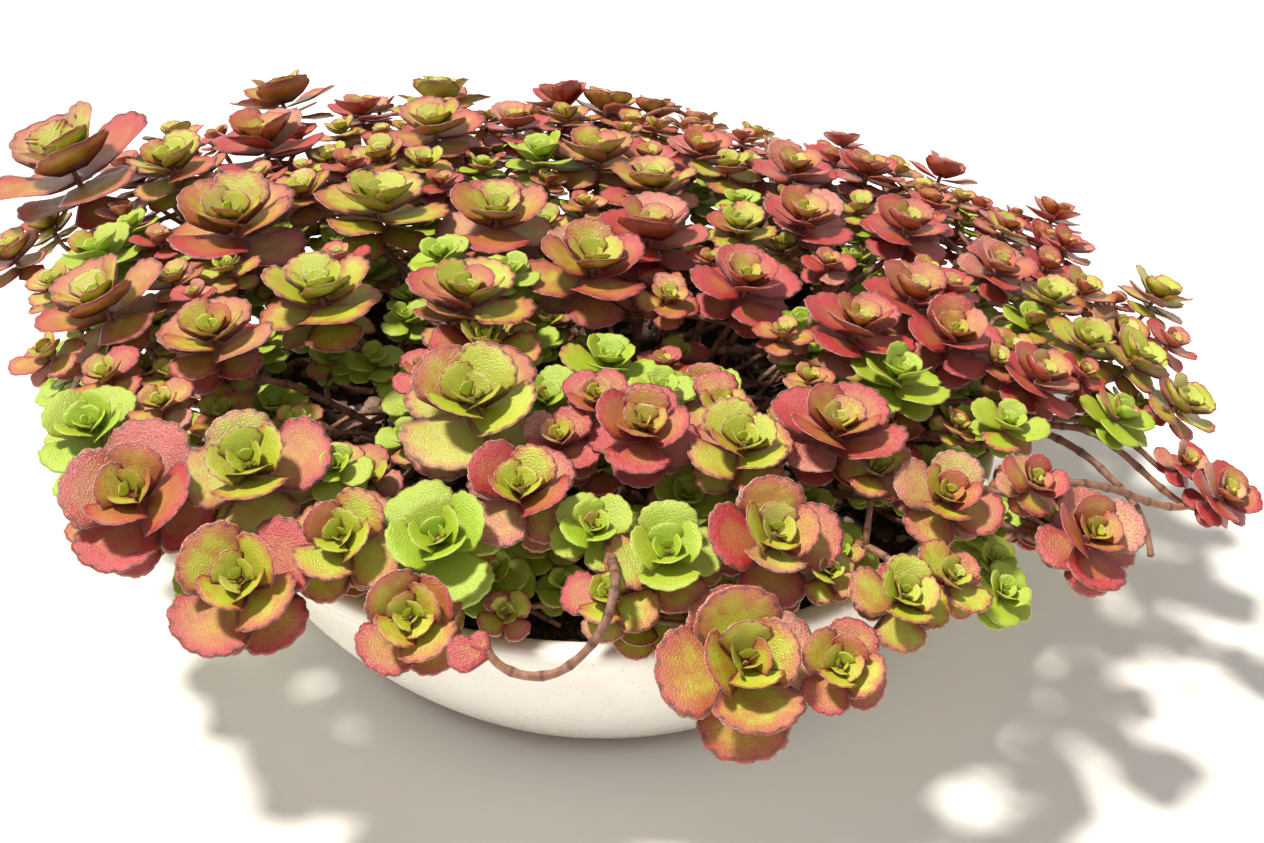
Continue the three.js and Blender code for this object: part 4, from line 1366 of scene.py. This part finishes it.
GRAIN_SOCKETS = ("Blotch Scale", "Fine Scale", "Fine Share")


def grain_group():
    """A group that puts out a blotchy mask, a fine mask and their height, on object places."""
    name = "Grain"
    if name in bpy.data.node_groups:
        return bpy.data.node_groups[name]
    tree = bpy.data.node_groups.new(name, "ShaderNodeTree")
    for way, labels in (("INPUT", GRAIN_SOCKETS), ("OUTPUT", ("Blotches", "Fine", "Height"))):
        for label in labels:
            tree.interface.new_socket(label, in_out=way, socket_type="NodeSocketFloat")
    graph = Graph(tree)
    given = graph.add("NodeGroupInput").outputs
    where = graph.place()
    blotches = graph.ease(graph.noise(given["Blotch Scale"], 4.0, 0.6, where), 0.32, 0.68)
    fine = graph.noise(given["Fine Scale"], 2.0, 0.7, where)
    height = graph.plus(graph.times(fine, given["Fine Share"]), blotches)
    result = graph.add("NodeGroupOutput")
    graph.put(result.inputs["Blotches"], blotches)
    graph.put(result.inputs["Fine"], fine)
    graph.put(result.inputs["Height"], height)
    return tree


class Paint(Graph):
    """A material's graph with its shader and its grain, and the colour laid on so far."""

    def __init__(self, name, *scales):
        self.material = bpy.data.materials.new(name)
        self.material.use_nodes = True
        self.material.node_tree.nodes.clear()
        super().__init__(self.material.node_tree)
        self.shader = self.add("ShaderNodeBsdfPrincipled")
        result = self.add("ShaderNodeOutputMaterial")
        self.put(result.inputs["Surface"], self.shader.outputs["BSDF"])
        grain = self.add("ShaderNodeGroup", dict(zip(GRAIN_SOCKETS, scales)), node_tree=grain_group())
        self.blotches, self.fine, self.height = grain.outputs
        self.colour = None

    def lay(self, share, tint, strength=None):
        """Lays a tint over the colour by a share, at a strength if one is given."""
        share = share if strength is None else self.times(share, strength)
        self.colour = self.mix(share, self.colour, tint)

    def finish(self, roughness, height=None, strength=0, distance=0):
        """Puts the colour, the roughness and the bump of a height into the shader."""
        self.put(self.shader.inputs["Base Color"], self.colour)
        self.put(self.shader.inputs["Roughness"], roughness)
        if height is not None:
            sockets = {"Height": height, "Strength": strength, "Distance": distance}
            self.put(self.shader.inputs["Normal"], self.add("ShaderNodeBump", sockets).outputs["Normal"])
        return self.material


# Where each of a leaf's colours begins and is full, by its redness or the way to its rim.
BANDS = {
    "outer": (0.42, 0.98), "tipward": (0.15, 0.9), "olive": (0.08, 0.3), "salmon": (0.24, 0.5),
    "red": (0.54, 0.92), "margin": (0.8, 0.92), "bead": (0.84, 0.9), "notch": (0.1, 0.24),
    # The last two bands on the next line are painted light: pale specks of painted glint, and a painted
    # sheen on some leaves.
    "rim": (0.95, 0.99), "speck": (0.48, 0.7), "painted_sheen": (0.72, 0.95),
}
# How strongly those colours that lie over the others are laid on; the specks are painted glints.
LAID = {"margin": 0.85, "bead": 0.8, "rim": 0.85, "beneath": 0.4, "speck": 0.15}


def leaf_redness(paint, blush, rim, along):
    """How red each place is: the leaf's blush, more so towards its rim and its tip, in blotches."""
    outer, tipward = paint.ease(rim, *BANDS["outer"]), paint.ease(along, *BANDS["tipward"])
    spread = paint.plus(paint.times(outer, 0.62), paint.times(tipward, 0.2))
    play = paint.times(paint.less(paint.blotches, 0.5), 0.22)
    red = paint.times(blush, paint.plus(spread, 0.28))
    red = paint.plus(red, paint.times(paint.less(blush, 0.45), 0.22))
    return paint.plus(red, play, clamp=True)


def leaf_material(settings):
    """Green at the middle and redder to the rim by the leaf's blush, with a red margin, a
    thin pale rim and dark beads at its notches, all over a fine grain, with pale specks of
    painted glint, and a pale painted sheen on some leaves chosen at random."""
    paint = Paint("stonecrop leaf", 170.0, 1900.0, 0.9)
    rim, along, turn, blush, youth, edge_red, shade, under = (paint.mark(name) for name in Batch.MARKS)
    red = leaf_redness(paint, blush, rim, along)
    paint.colour = paint.mix(youth, settings.lime, settings.green)
    paint.lay(shade, settings.olive, 0.2)
    for band in ("olive", "salmon", "red"):
        paint.lay(paint.ease(red, *BANDS[band]), getattr(settings, band))
    margin = paint.times(paint.ease(rim, *BANDS["margin"]), paint.times(edge_red, 1.2, clamp=True))
    paint.lay(margin, settings.margin, LAID["margin"])
    notch = paint.ease(paint.math("PINGPONG", turn, 0.5), *BANDS["notch"])
    bead = paint.times(paint.less(1.0, notch), paint.ease(rim, *BANDS["bead"]))
    paint.lay(paint.times(bead, paint.ease(edge_red, 0.2, 0.5)), settings.bead, LAID["bead"])
    edge = paint.times(paint.ease(rim, *BANDS["rim"]), paint.ease(along, 0.3, 0.6))
    paint.lay(paint.times(edge, paint.ease(paint.fine, 0.36, 0.62)), settings.rim, LAID["rim"])
    paint.lay(paint.times(under, paint.times(blush, LAID["beneath"], clamp=True)), settings.red)
    # Pale specks of painted glint, in the fine grain all over the leaf.
    paint.lay(paint.ease(paint.fine, *BANDS["speck"]), settings.rim, LAID["speck"])
    # Painted sheen: on leaves chosen at random by their shade mark, weaker on young ones, a pale colour in
    # the fine grain stands in for the glare of the light.
    painted_sheen = paint.times(paint.ease(shade, *BANDS["painted_sheen"]), paint.ease(paint.fine, 0.32, 0.62))
    paint.lay(paint.times(painted_sheen, paint.less(1.0, youth)), settings.pale, settings.painted_sheen)
    for name, value in (
        ("Specular IOR Level", settings.gloss), ("Subsurface Weight", 0.12),
        ("Subsurface Radius", (0.6, 0.9, 0.25)), ("Subsurface Scale", 0.0015),
    ):
        paint.shader.inputs[name].default_value = value
    return paint.finish(paint.plus(paint.times(paint.fine, 0.4), 0.16), paint.fine, 0.6, 0.0008)


def stalk_material(settings):
    """Brown stalks, paler near the rosettes, with a dark ring at each joint and pale blotches."""
    paint = Paint("stonecrop stalk", 260.0, 2200.0, 0.6)
    paint.colour = settings.old
    paint.lay(paint.mark("shade"), settings.dark, 0.5)
    paint.lay(paint.times(paint.ease(paint.mark("along"), 0.55, 1.0), 0.7), settings.young)
    paint.lay(paint.blotches, settings.pale, 0.45)
    ring = paint.ease(paint.math("PINGPONG", paint.mark("turn"), 0.5), 0.02, 0.12)
    paint.lay(paint.less(1.0, ring), settings.dark, 0.6)
    return paint.finish(paint.plus(paint.times(paint.fine, 0.3), 0.4), paint.height, 0.6, 0.0006)


def soil_material(settings):
    """Dark and dry soil in blotches, with pale crumbs."""
    paint = Paint("potting soil", 140.0, 900.0, 0.8)
    paint.colour = settings.dark
    paint.lay(paint.blotches, settings.brown)
    paint.lay(paint.ease(paint.fine, 0.55, 0.72), settings.crumb)
    return paint.finish(paint.less(0.98, paint.times(paint.fine, 0.15)), paint.height, 0.9, 0.0015)


def bark_material(settings, name, one, other):
    """Bits of bark or stone: each takes its own colour between two, with a fine grain."""
    paint = Paint(name, 300.0, 1600.0, 0.7)
    paint.colour = one
    paint.lay(paint.mark("shade"), other)
    paint.lay(paint.blotches, settings.dark, 0.4)
    return paint.finish(paint.plus(paint.times(paint.fine, 0.25), 0.62), paint.height, 0.7, 0.001)


def glaze_material(settings):
    """A pale speckled glaze that stops short of a bare clay foot."""
    paint = Paint("speckled glaze", 45.0, 620.0, 0.3)
    height = paint.add("ShaderNodeSeparateXYZ", {"Vector": paint.place()}).outputs["Z"]
    waver = paint.times(paint.less(paint.blotches, 0.5), 0.0016)
    bare = paint.less(1.0, paint.ease(paint.plus(height, waver), 0.0042, 0.0052))
    paint.colour = settings.glaze
    paint.lay(paint.blotches, settings.pool, 0.5)
    paint.lay(paint.ease(paint.fine, 0.66, 0.74), settings.speck, settings.speckle)
    paint.lay(bare, settings.clay)
    gloss = paint.plus(paint.times(paint.blotches, 0.1), 0.22)
    return paint.finish(paint.plus(gloss, paint.times(bare, 0.5)), paint.height, 0.12, 0.0008)


def floor_material(settings):
    paint = Paint("pale floor", 3.0, 60.0, 0.2)
    paint.colour = settings.floor
    paint.lay(paint.blotches, settings.shade, 0.15)
    return paint.finish(0.9)


def colour_property(name, description, text):
    return bpy.props.FloatVectorProperty(
        name=name, description=description, default=tint(text), subtype="COLOR", size=4, min=0, max=1,
    )


def number(name, description, default, low, high, **more):
    return bpy.props.FloatProperty(
        name=name, description=description, default=default, min=low, max=high, **more,
    )


def portion(name, description, default, high):
    return number(name, description, default, 0, high, subtype="FACTOR")


def count_of(name, description, default, high):
    return bpy.props.IntProperty(name=name, description=description, default=default, min=0, max=high)


class StonecropLeafSettings(bpy.types.PropertyGroup):
    """The leaves' colours and form."""

    green: colour_property("Green", "The youngest leaves", "9fbe1e")
    lime: colour_property("Lime", "The middle of a grown leaf", "c3ba2e")
    olive: colour_property("Olive", "Where green turns to red", "b78a28")
    salmon: colour_property("Salmon", "Towards the rim of a leaf in the sun", "b26234")
    red: colour_property("Red", "The reddest leaves", "b22a30")
    margin: colour_property("Margin", "The band inside the rim", "961f26")
    rim: colour_property("Rim", "The thin pale rim", "eccaa8")
    # The pale colour of the painted sheen that some leaves have.
    pale: colour_property("Pale", "The bloom on some leaves", "e3cfae")
    bead: colour_property("Bead", "The dark dots at the notches", "5e141c")
    # How strongly the painted sheen is laid on.
    painted_sheen: portion("Painted_sheen", "How pale the leaves with a bloom are", 0.42, 1)
    scallop: number("Scallop", "Length of leaf to each scallop, in millimetres", 1.9, 1, 6)
    notch: portion("Notch", "Depth of the notches, as a share", 0.06, 0.3)
    cup: portion("Cup", "How far the outer leaves' sides rise, as a share", 0.09, 0.5)
    wrap: portion("Wrap", "How much further the inner leaves' sides rise", 0.02, 1)
    flush: portion("Flush", "The share of the outer leaves that turn redder", 0.15, 1)
    gloss: portion("Gloss", "The shine of the leaves", 1.0, 1)


class StonecropStalkSettings(bpy.types.PropertyGroup):
    """The stalks' colours."""

    old: colour_property("Old", "Old bark", "875a45")
    dark: colour_property("Dark", "Shaded bark and the rings", "3d2620")
    young: colour_property("Young", "Near the rosettes", "a26c4c")
    pale: colour_property("Pale", "Dry scratches", "b98f7a")


class StonecropFillSettings(bpy.types.PropertyGroup):
    """The shoots that fill the clump below its seen rosettes."""

    spacing: number("Spacing", "Between the shoots, in millimetres", 12.5, 8, 60)
    shallow: number("Shallow", "The least depth below the canopy, in millimetres", 2, 0, 40)
    deep: number("Deep", "The greatest depth below the canopy, in millimetres", 26, 0, 60)
    small: number("Small", "The least radius, in millimetres", 8.5, 3, 20)
    big: number("Big", "The greatest radius, in millimetres", 15, 3, 25)
    apart: portion("Apart", "The least distance, as a share of two radii", 0.66, 2)
    creepers: count_of("Creepers", "How many creeping stalks", 60, 400)
    reach: portion("Reach", "How far out they stand, as a share of the canopy", 0.98, 1)


class StonecropSoilSettings(bpy.types.PropertyGroup):
    """The soil with its bark, stones and twigs."""

    dark: colour_property("Dark", "Wet soil", "1f1511")
    brown: colour_property("Brown", "Dry soil", "4a3427")
    crumb: colour_property("Crumb", "Pale crumbs", "7c6350")
    bark: colour_property("Bark", "The darkest bark", "5c3f31")
    rind: colour_property("Rind", "The palest bark", "b08a76")
    stone: colour_property("Stone", "The darkest stones", "6f5a52")
    pebble: colour_property("Pebble", "The palest stones", "cbb3a6")
    chips: count_of("Chips", "How many bits of bark", 420, 2000)
    stones: count_of("Stones", "How many small stones", 220, 2000)
    twigs: count_of("Twigs", "How many dry twigs", 70, 400)


class StonecropPotSettings(bpy.types.PropertyGroup):
    """The pot's glaze and clay."""

    glaze: colour_property("Glaze", "The glaze", "f1eee7")
    pool: colour_property("Pool", "Where the glaze is thin", "e4dfd4")
    speck: colour_property("Speck", "The glaze's specks", "7d6a55")
    clay: colour_property("Clay", "The bare foot", "b48a6a")
    speckle: portion("Speckle", "How strong the specks are", 0.6, 1)


class StonecropStageSettings(bpy.types.PropertyGroup):
    """The floor and the lights."""

    floor: colour_property("Floor", "The floor", "f4f3f0")
    shade: colour_property("Shade", "The floor's faint blotches", "e6e4df")
    sun: number("Sun", "The strength of the key light", 5.05, 0, 20)
    spread: number("Spread", "The key light's angle", math.radians(8), 0, 1, subtype="ANGLE")
    sky: number("Sky", "The strength of the light all round", 0.52, 0, 5)


class StonecropSettings(bpy.types.PropertyGroup):
    """Every group of settings."""

    leaf: bpy.props.PointerProperty(type=StonecropLeafSettings)
    stalk: bpy.props.PointerProperty(type=StonecropStalkSettings)
    fill: bpy.props.PointerProperty(type=StonecropFillSettings)
    soil: bpy.props.PointerProperty(type=StonecropSoilSettings)
    pot: bpy.props.PointerProperty(type=StonecropPotSettings)
    stage: bpy.props.PointerProperty(type=StonecropStageSettings)


def plant_materials(settings):
    """The leaf's and the stalk's materials, made once."""
    leaf = bpy.data.materials.get("stonecrop leaf") or leaf_material(settings.leaf)
    stalk = bpy.data.materials.get("stonecrop stalk") or stalk_material(settings.stalk)
    return [leaf, stalk]


# The floor's half width in metres, and where the key light comes from: high and from the left.
FLOOR_HALF = 60.0
KEY_LIGHT_FROM = (-0.36, 0.06, 0.93)


class Growth:
    """The grown shoots, which the operators for the plant share."""

    stems = []
    crowd = None


class STONECROP_OT_stage(bpy.types.Operator):
    """Sets the floor, the lights and the camera"""

    bl_idname = "stonecrop.stage"
    bl_label = "Set the Stage"

    def execute(self, context):
        settings = context.scene.stonecrop.stage
        mesh = bpy.data.meshes.new("floor")
        corners = [(x * FLOOR_HALF, y * FLOOR_HALF, 0) for x, y in ((-1, -1), (1, -1), (1, 1), (-1, 1))]
        mesh.from_pydata(corners, [], [(0, 1, 2, 3)])
        mesh.materials.append(floor_material(settings))
        in_scene("floor", mesh)
        sun = bpy.data.lights.new("key light", "SUN")
        sun.energy = settings.sun
        sun.angle = settings.spread
        sun.color = (1.0, 0.95, 0.86)
        key = in_scene("key light", sun)
        key.rotation_euler = Vector(KEY_LIGHT_FROM).to_track_quat("Z", "Y").to_euler()
        world = bpy.data.worlds.new("soft light")
        world.use_nodes = True
        background = world.node_tree.nodes["Background"]
        background.inputs["Color"].default_value = (1.0, 0.985, 0.96, 1)
        background.inputs["Strength"].default_value = settings.sky
        context.scene.world = world
        eye, _, _ = view_axes()
        lens = bpy.data.cameras.new("camera")
        lens.sensor_width = 36
        lens.lens = lens.sensor_width * VIEW["focal"] / VIEW["width"]
        lens.clip_start = 0.01
        lens.clip_end = 50
        camera = in_scene("camera", lens)
        camera.location = Vector(eye * MM)
        camera.rotation_euler = (math.radians(90 - VIEW["pitch"]), 0, 0)
        context.scene.camera = camera
        context.scene.view_settings.view_transform = "Standard"
        return {"FINISHED"}


class STONECROP_OT_pot(bpy.types.Operator):
    """Turns the pot and bores its drain holes"""

    bl_idname = "stonecrop.pot"
    bl_label = "Turn the Pot"

    def execute(self, context):
        bowl, bores = Batch(), Batch()
        bowl.add(*lathe(pot_profile(), 128), 0)
        pot = in_scene("bowl", bowl.mesh("bowl"))
        for hole in range(DRAIN["count"]):
            angle = 2 * math.pi * hole / DRAIN["count"] + math.pi / 2
            middle = DRAIN["circle"] * vec(math.cos(angle), math.sin(angle), 0)
            low, high = -5, 15
            profile = [[0, low], [DRAIN["radius"], low], [DRAIN["radius"], high], [0, high]]
            bore, sides, ends = lathe(profile, 32)
            bores.add(bore + middle, sides, ends, 0)
        cutter = in_scene("bores", bores.mesh("bores"))
        cut = pot.modifiers.new("drain", "BOOLEAN")
        cut.operation = "DIFFERENCE"
        cut.object = cutter
        cut.solver = "EXACT"
        graph = context.evaluated_depsgraph_get()
        bored = bpy.data.meshes.new_from_object(pot.evaluated_get(graph))
        bpy.data.objects.remove(pot)
        bpy.data.objects.remove(cutter)
        bored.name = "glazed_bowl"
        bored.materials.clear()
        bored.materials.append(glaze_material(context.scene.stonecrop.pot))
        bored.shade_smooth()
        bored.set_sharp_from_angle(angle=math.radians(40))
        finish_piece("glazed_bowl", bored, "pot", ("pot",))
        return {"FINISHED"}


class STONECROP_OT_soil(bpy.types.Operator):
    """Fills the pot with lumpy soil"""

    bl_idname = "stonecrop.soil"
    bl_label = "Fill the Soil"

    def execute(self, context):
        batch = Batch()
        batch.add(*soil_surface(), 0)
        batch.build("potting_soil", [soil_material(context.scene.stonecrop.soil)], "soil", ("soil",))
        return {"FINISHED"}


class STONECROP_OT_mulch(bpy.types.Operator):
    """Scatters bark, stones and twigs over the soil"""

    bl_idname = "stonecrop.mulch"
    bl_label = "Scatter Bark and Stones"

    def execute(self, context):
        settings = context.scene.stonecrop.soil
        bark = bark_material(settings, "bark", settings.bark, settings.rind)
        stone = bark_material(settings, "stone", settings.stone, settings.pebble)
        batch = Batch()
        crumbs(batch, settings.chips, 50, (4, 13), (0.14, 0.3), 0.55, 0, 0.25)
        crumbs(batch, settings.stones, 70, (2.5, 7.5), (0.5, 0.8), 0.85, 1, 0.2)
        x, y = scattered(settings.twigs, 90, bowl_radius(SOIL["edge"]) - POT["wall"] - 24)
        for row in range(settings.twigs):
            turn = 2 * math.pi * draw(row, 92)
            half = 9 + 16 * draw(row, 93)
            share = np.linspace(-1, 1, 5)
            bow = half * 0.25 * (draw(row, 94) - 0.5) * (1 - share ** 2)
            px = x[row] + half * share * math.cos(turn) - bow * math.sin(turn)
            py = y[row] + half * share * math.sin(turn) + bow * math.cos(turn)
            pz = soil_top(px, py) + 1.6 + 2.5 * draw(row, 95) * (1 + share)
            thick = 0.55 + 0.5 * draw(row, 96)
            add_tube(batch, np.stack([px, py, pz], 1), thick, 0, sides=5, shade=0.4 + 0.6 * draw(row, 97))
        batch.build("bark_and_stones", [bark, stone], "soil")
        return {"FINISHED"}


class STONECROP_OT_stems(bpy.types.Operator):
    """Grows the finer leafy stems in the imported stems' places"""

    bl_idname = "stonecrop.stems"
    bl_label = "Grow the Leafy Stems"

    def execute(self, context):
        settings = context.scene.stonecrop
        materials = plant_materials(settings)
        Growth.stems = grown_stems()
        Growth.crowd = Crowd()
        for shoot in [shoot for stem in Growth.stems for shoot in stem]:
            fill_out(shoot, Growth.crowd, settings.leaf)
        for row, stem in enumerate(Growth.stems):
            batch = Batch()
            for shoot in stem:
                add_outer(shoot, Growth.crowd, settings.leaf)
                add_shoot(batch, shoot, settings.leaf)
            name = f"leafy_stem_{row + 1:02d}"
            batch.build(f"grown_stem_{row + 1:02d}", materials, TONES[stem[0].tone]["slot"], (name,))
        return {"FINISHED"}


class STONECROP_OT_fill(bpy.types.Operator):
    """Grows the smaller shoots between and below the leafy stems"""

    bl_idname = "stonecrop.fill"
    bl_label = "Grow the Fill"

    def execute(self, context):
        settings = context.scene.stonecrop
        if Growth.crowd is None:
            raise RuntimeError("grow the leafy stems first")
        materials = plant_materials(settings)
        grown = grow_fill(Growth.stems, Growth.crowd, settings.fill, settings.leaf)
        quarters = {}
        for shoot in grown:
            side = "left" if shoot.place[0] < FILL_PARTED[0] else "right"
            side += "_front" if shoot.place[1] < FILL_PARTED[1] else "_back"
            quarters.setdefault(side, []).append(shoot)
        for side, shoots in sorted(quarters.items()):
            batch = Batch()
            for shoot in shoots:
                add_shoot(batch, shoot, settings.leaf, fine=2)
            batch.build(f"fill_shoots_{side}", materials, "leaf_green")
        print(f"{len(grown)} fill shoots, {len(Growth.crowd.trees)} leaves tested")
        return {"FINISHED"}


def creeping_stalk(row, count):
    """A stalk that creeps outwards and aside over the soil, rising to under the canopy."""
    turn = 2 * math.pi * (row + draw(row, 101)) / count * 7
    near = 20 + 80 * draw(row, 102)
    far = min(near + 45 + 60 * draw(row, 103), 128)
    swing = 1.1 * (draw(row, 104) - 0.5)
    share = np.linspace(0, 1, 6)
    radius = near + (far - near) * share
    angle = turn + swing * share ** 1.5 + 0.06 * np.sin(7 * share + row)
    x, y = radius * np.cos(angle), radius * np.sin(angle)
    rise = (4 + 20 * draw(row, 105)) * share * (1.5 - share)
    z = soil_height(x, y) + 1 + rise + 2 * np.sin(5 * share + row)
    return np.stack([x, y, z], 1)


class STONECROP_OT_creepers(bpy.types.Operator):
    """Lays the old creeping stalks over the soil"""

    bl_idname = "stonecrop.creepers"
    bl_label = "Lay the Creeping Stalks"

    def execute(self, context):
        settings = context.scene.stonecrop
        count = settings.fill.creepers
        batch = Batch()
        for row in range(count):
            thick = 0.95 + 0.4 * draw(row, 106)
            add_stalk(batch, creeping_stalk(row, count), thick, 0.8 * thick, 800 + row, 0)
        batch.build("creeping_stalks", plant_materials(settings)[1:], "leaf_red")
        return {"FINISHED"}


class STONECROP_OT_runners(bpy.types.Operator):
    """Hangs the bare stalks that stand free of the clump"""

    bl_idname = "stonecrop.runners"
    bl_label = "Hang the Bare Stalks"

    def execute(self, context):
        settings = context.scene.stonecrop
        for row, runner in enumerate(RUNNERS):
            batch = Batch()
            points = [on_plane(u, v, y) for u, v, y in runner["points"]]
            add_stalk(batch, points, *runner["half"], 700 + row)
            for owner, way, length, tone in RUNNER_LEAVES:
                if owner == row:
                    leaf = end_leaf(points[-1], vec(*way), length, tone)
                    add_leaf(batch, leaf, 4, settings.leaf.notch)
            batch.build(f"bare_stalk_{row + 1}", plant_materials(settings), "leaf_red")
        return {"FINISHED"}


class STONECROP_PT_panel(bpy.types.Panel):
    """The steps that build the bowl of stonecrop"""

    bl_idname = "STONECROP_PT_panel"
    bl_label = "Potted Stonecrop"
    bl_space_type = "VIEW_3D"
    bl_region_type = "UI"
    bl_category = "Stonecrop"

    def draw(self, context):
        settings = context.scene.stonecrop
        for group, steps in PANEL_ROWS:
            box = self.layout.box()
            box.label(text=group.capitalize())
            chosen = getattr(settings, group)
            for name in chosen.__annotations__:
                box.prop(chosen, name)
            for step in steps:
                box.operator(step)


PANEL_ROWS = (
    ("stage", ("stonecrop.stage",)),
    ("pot", ("stonecrop.pot",)),
    ("soil", ("stonecrop.soil", "stonecrop.mulch")),
    ("leaf", ("stonecrop.stems",)),
    ("stalk", ("stonecrop.runners",)),
    ("fill", ("stonecrop.fill", "stonecrop.creepers")),
)

CLASSES = (
    StonecropLeafSettings, StonecropStalkSettings, StonecropFillSettings, StonecropSoilSettings,
    StonecropPotSettings, StonecropStageSettings, StonecropSettings,
    STONECROP_OT_stage, STONECROP_OT_pot, STONECROP_OT_soil, STONECROP_OT_mulch,
    STONECROP_OT_stems, STONECROP_OT_fill, STONECROP_OT_creepers,
    STONECROP_OT_runners, STONECROP_PT_panel,
)


def register():
    for each in CLASSES:
        bpy.utils.register_class(each)
    bpy.types.Scene.stonecrop = bpy.props.PointerProperty(type=StonecropSettings)


def unregister():
    del bpy.types.Scene.stonecrop
    for each in reversed(CLASSES):
        bpy.utils.unregister_class(each)


def main():
    register()
    for _, steps in PANEL_ROWS:
        for step in steps:
            group, name = step.split(".")
            getattr(getattr(bpy.ops, group), name)()
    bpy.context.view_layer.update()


if __name__ == "__main__":
    main()
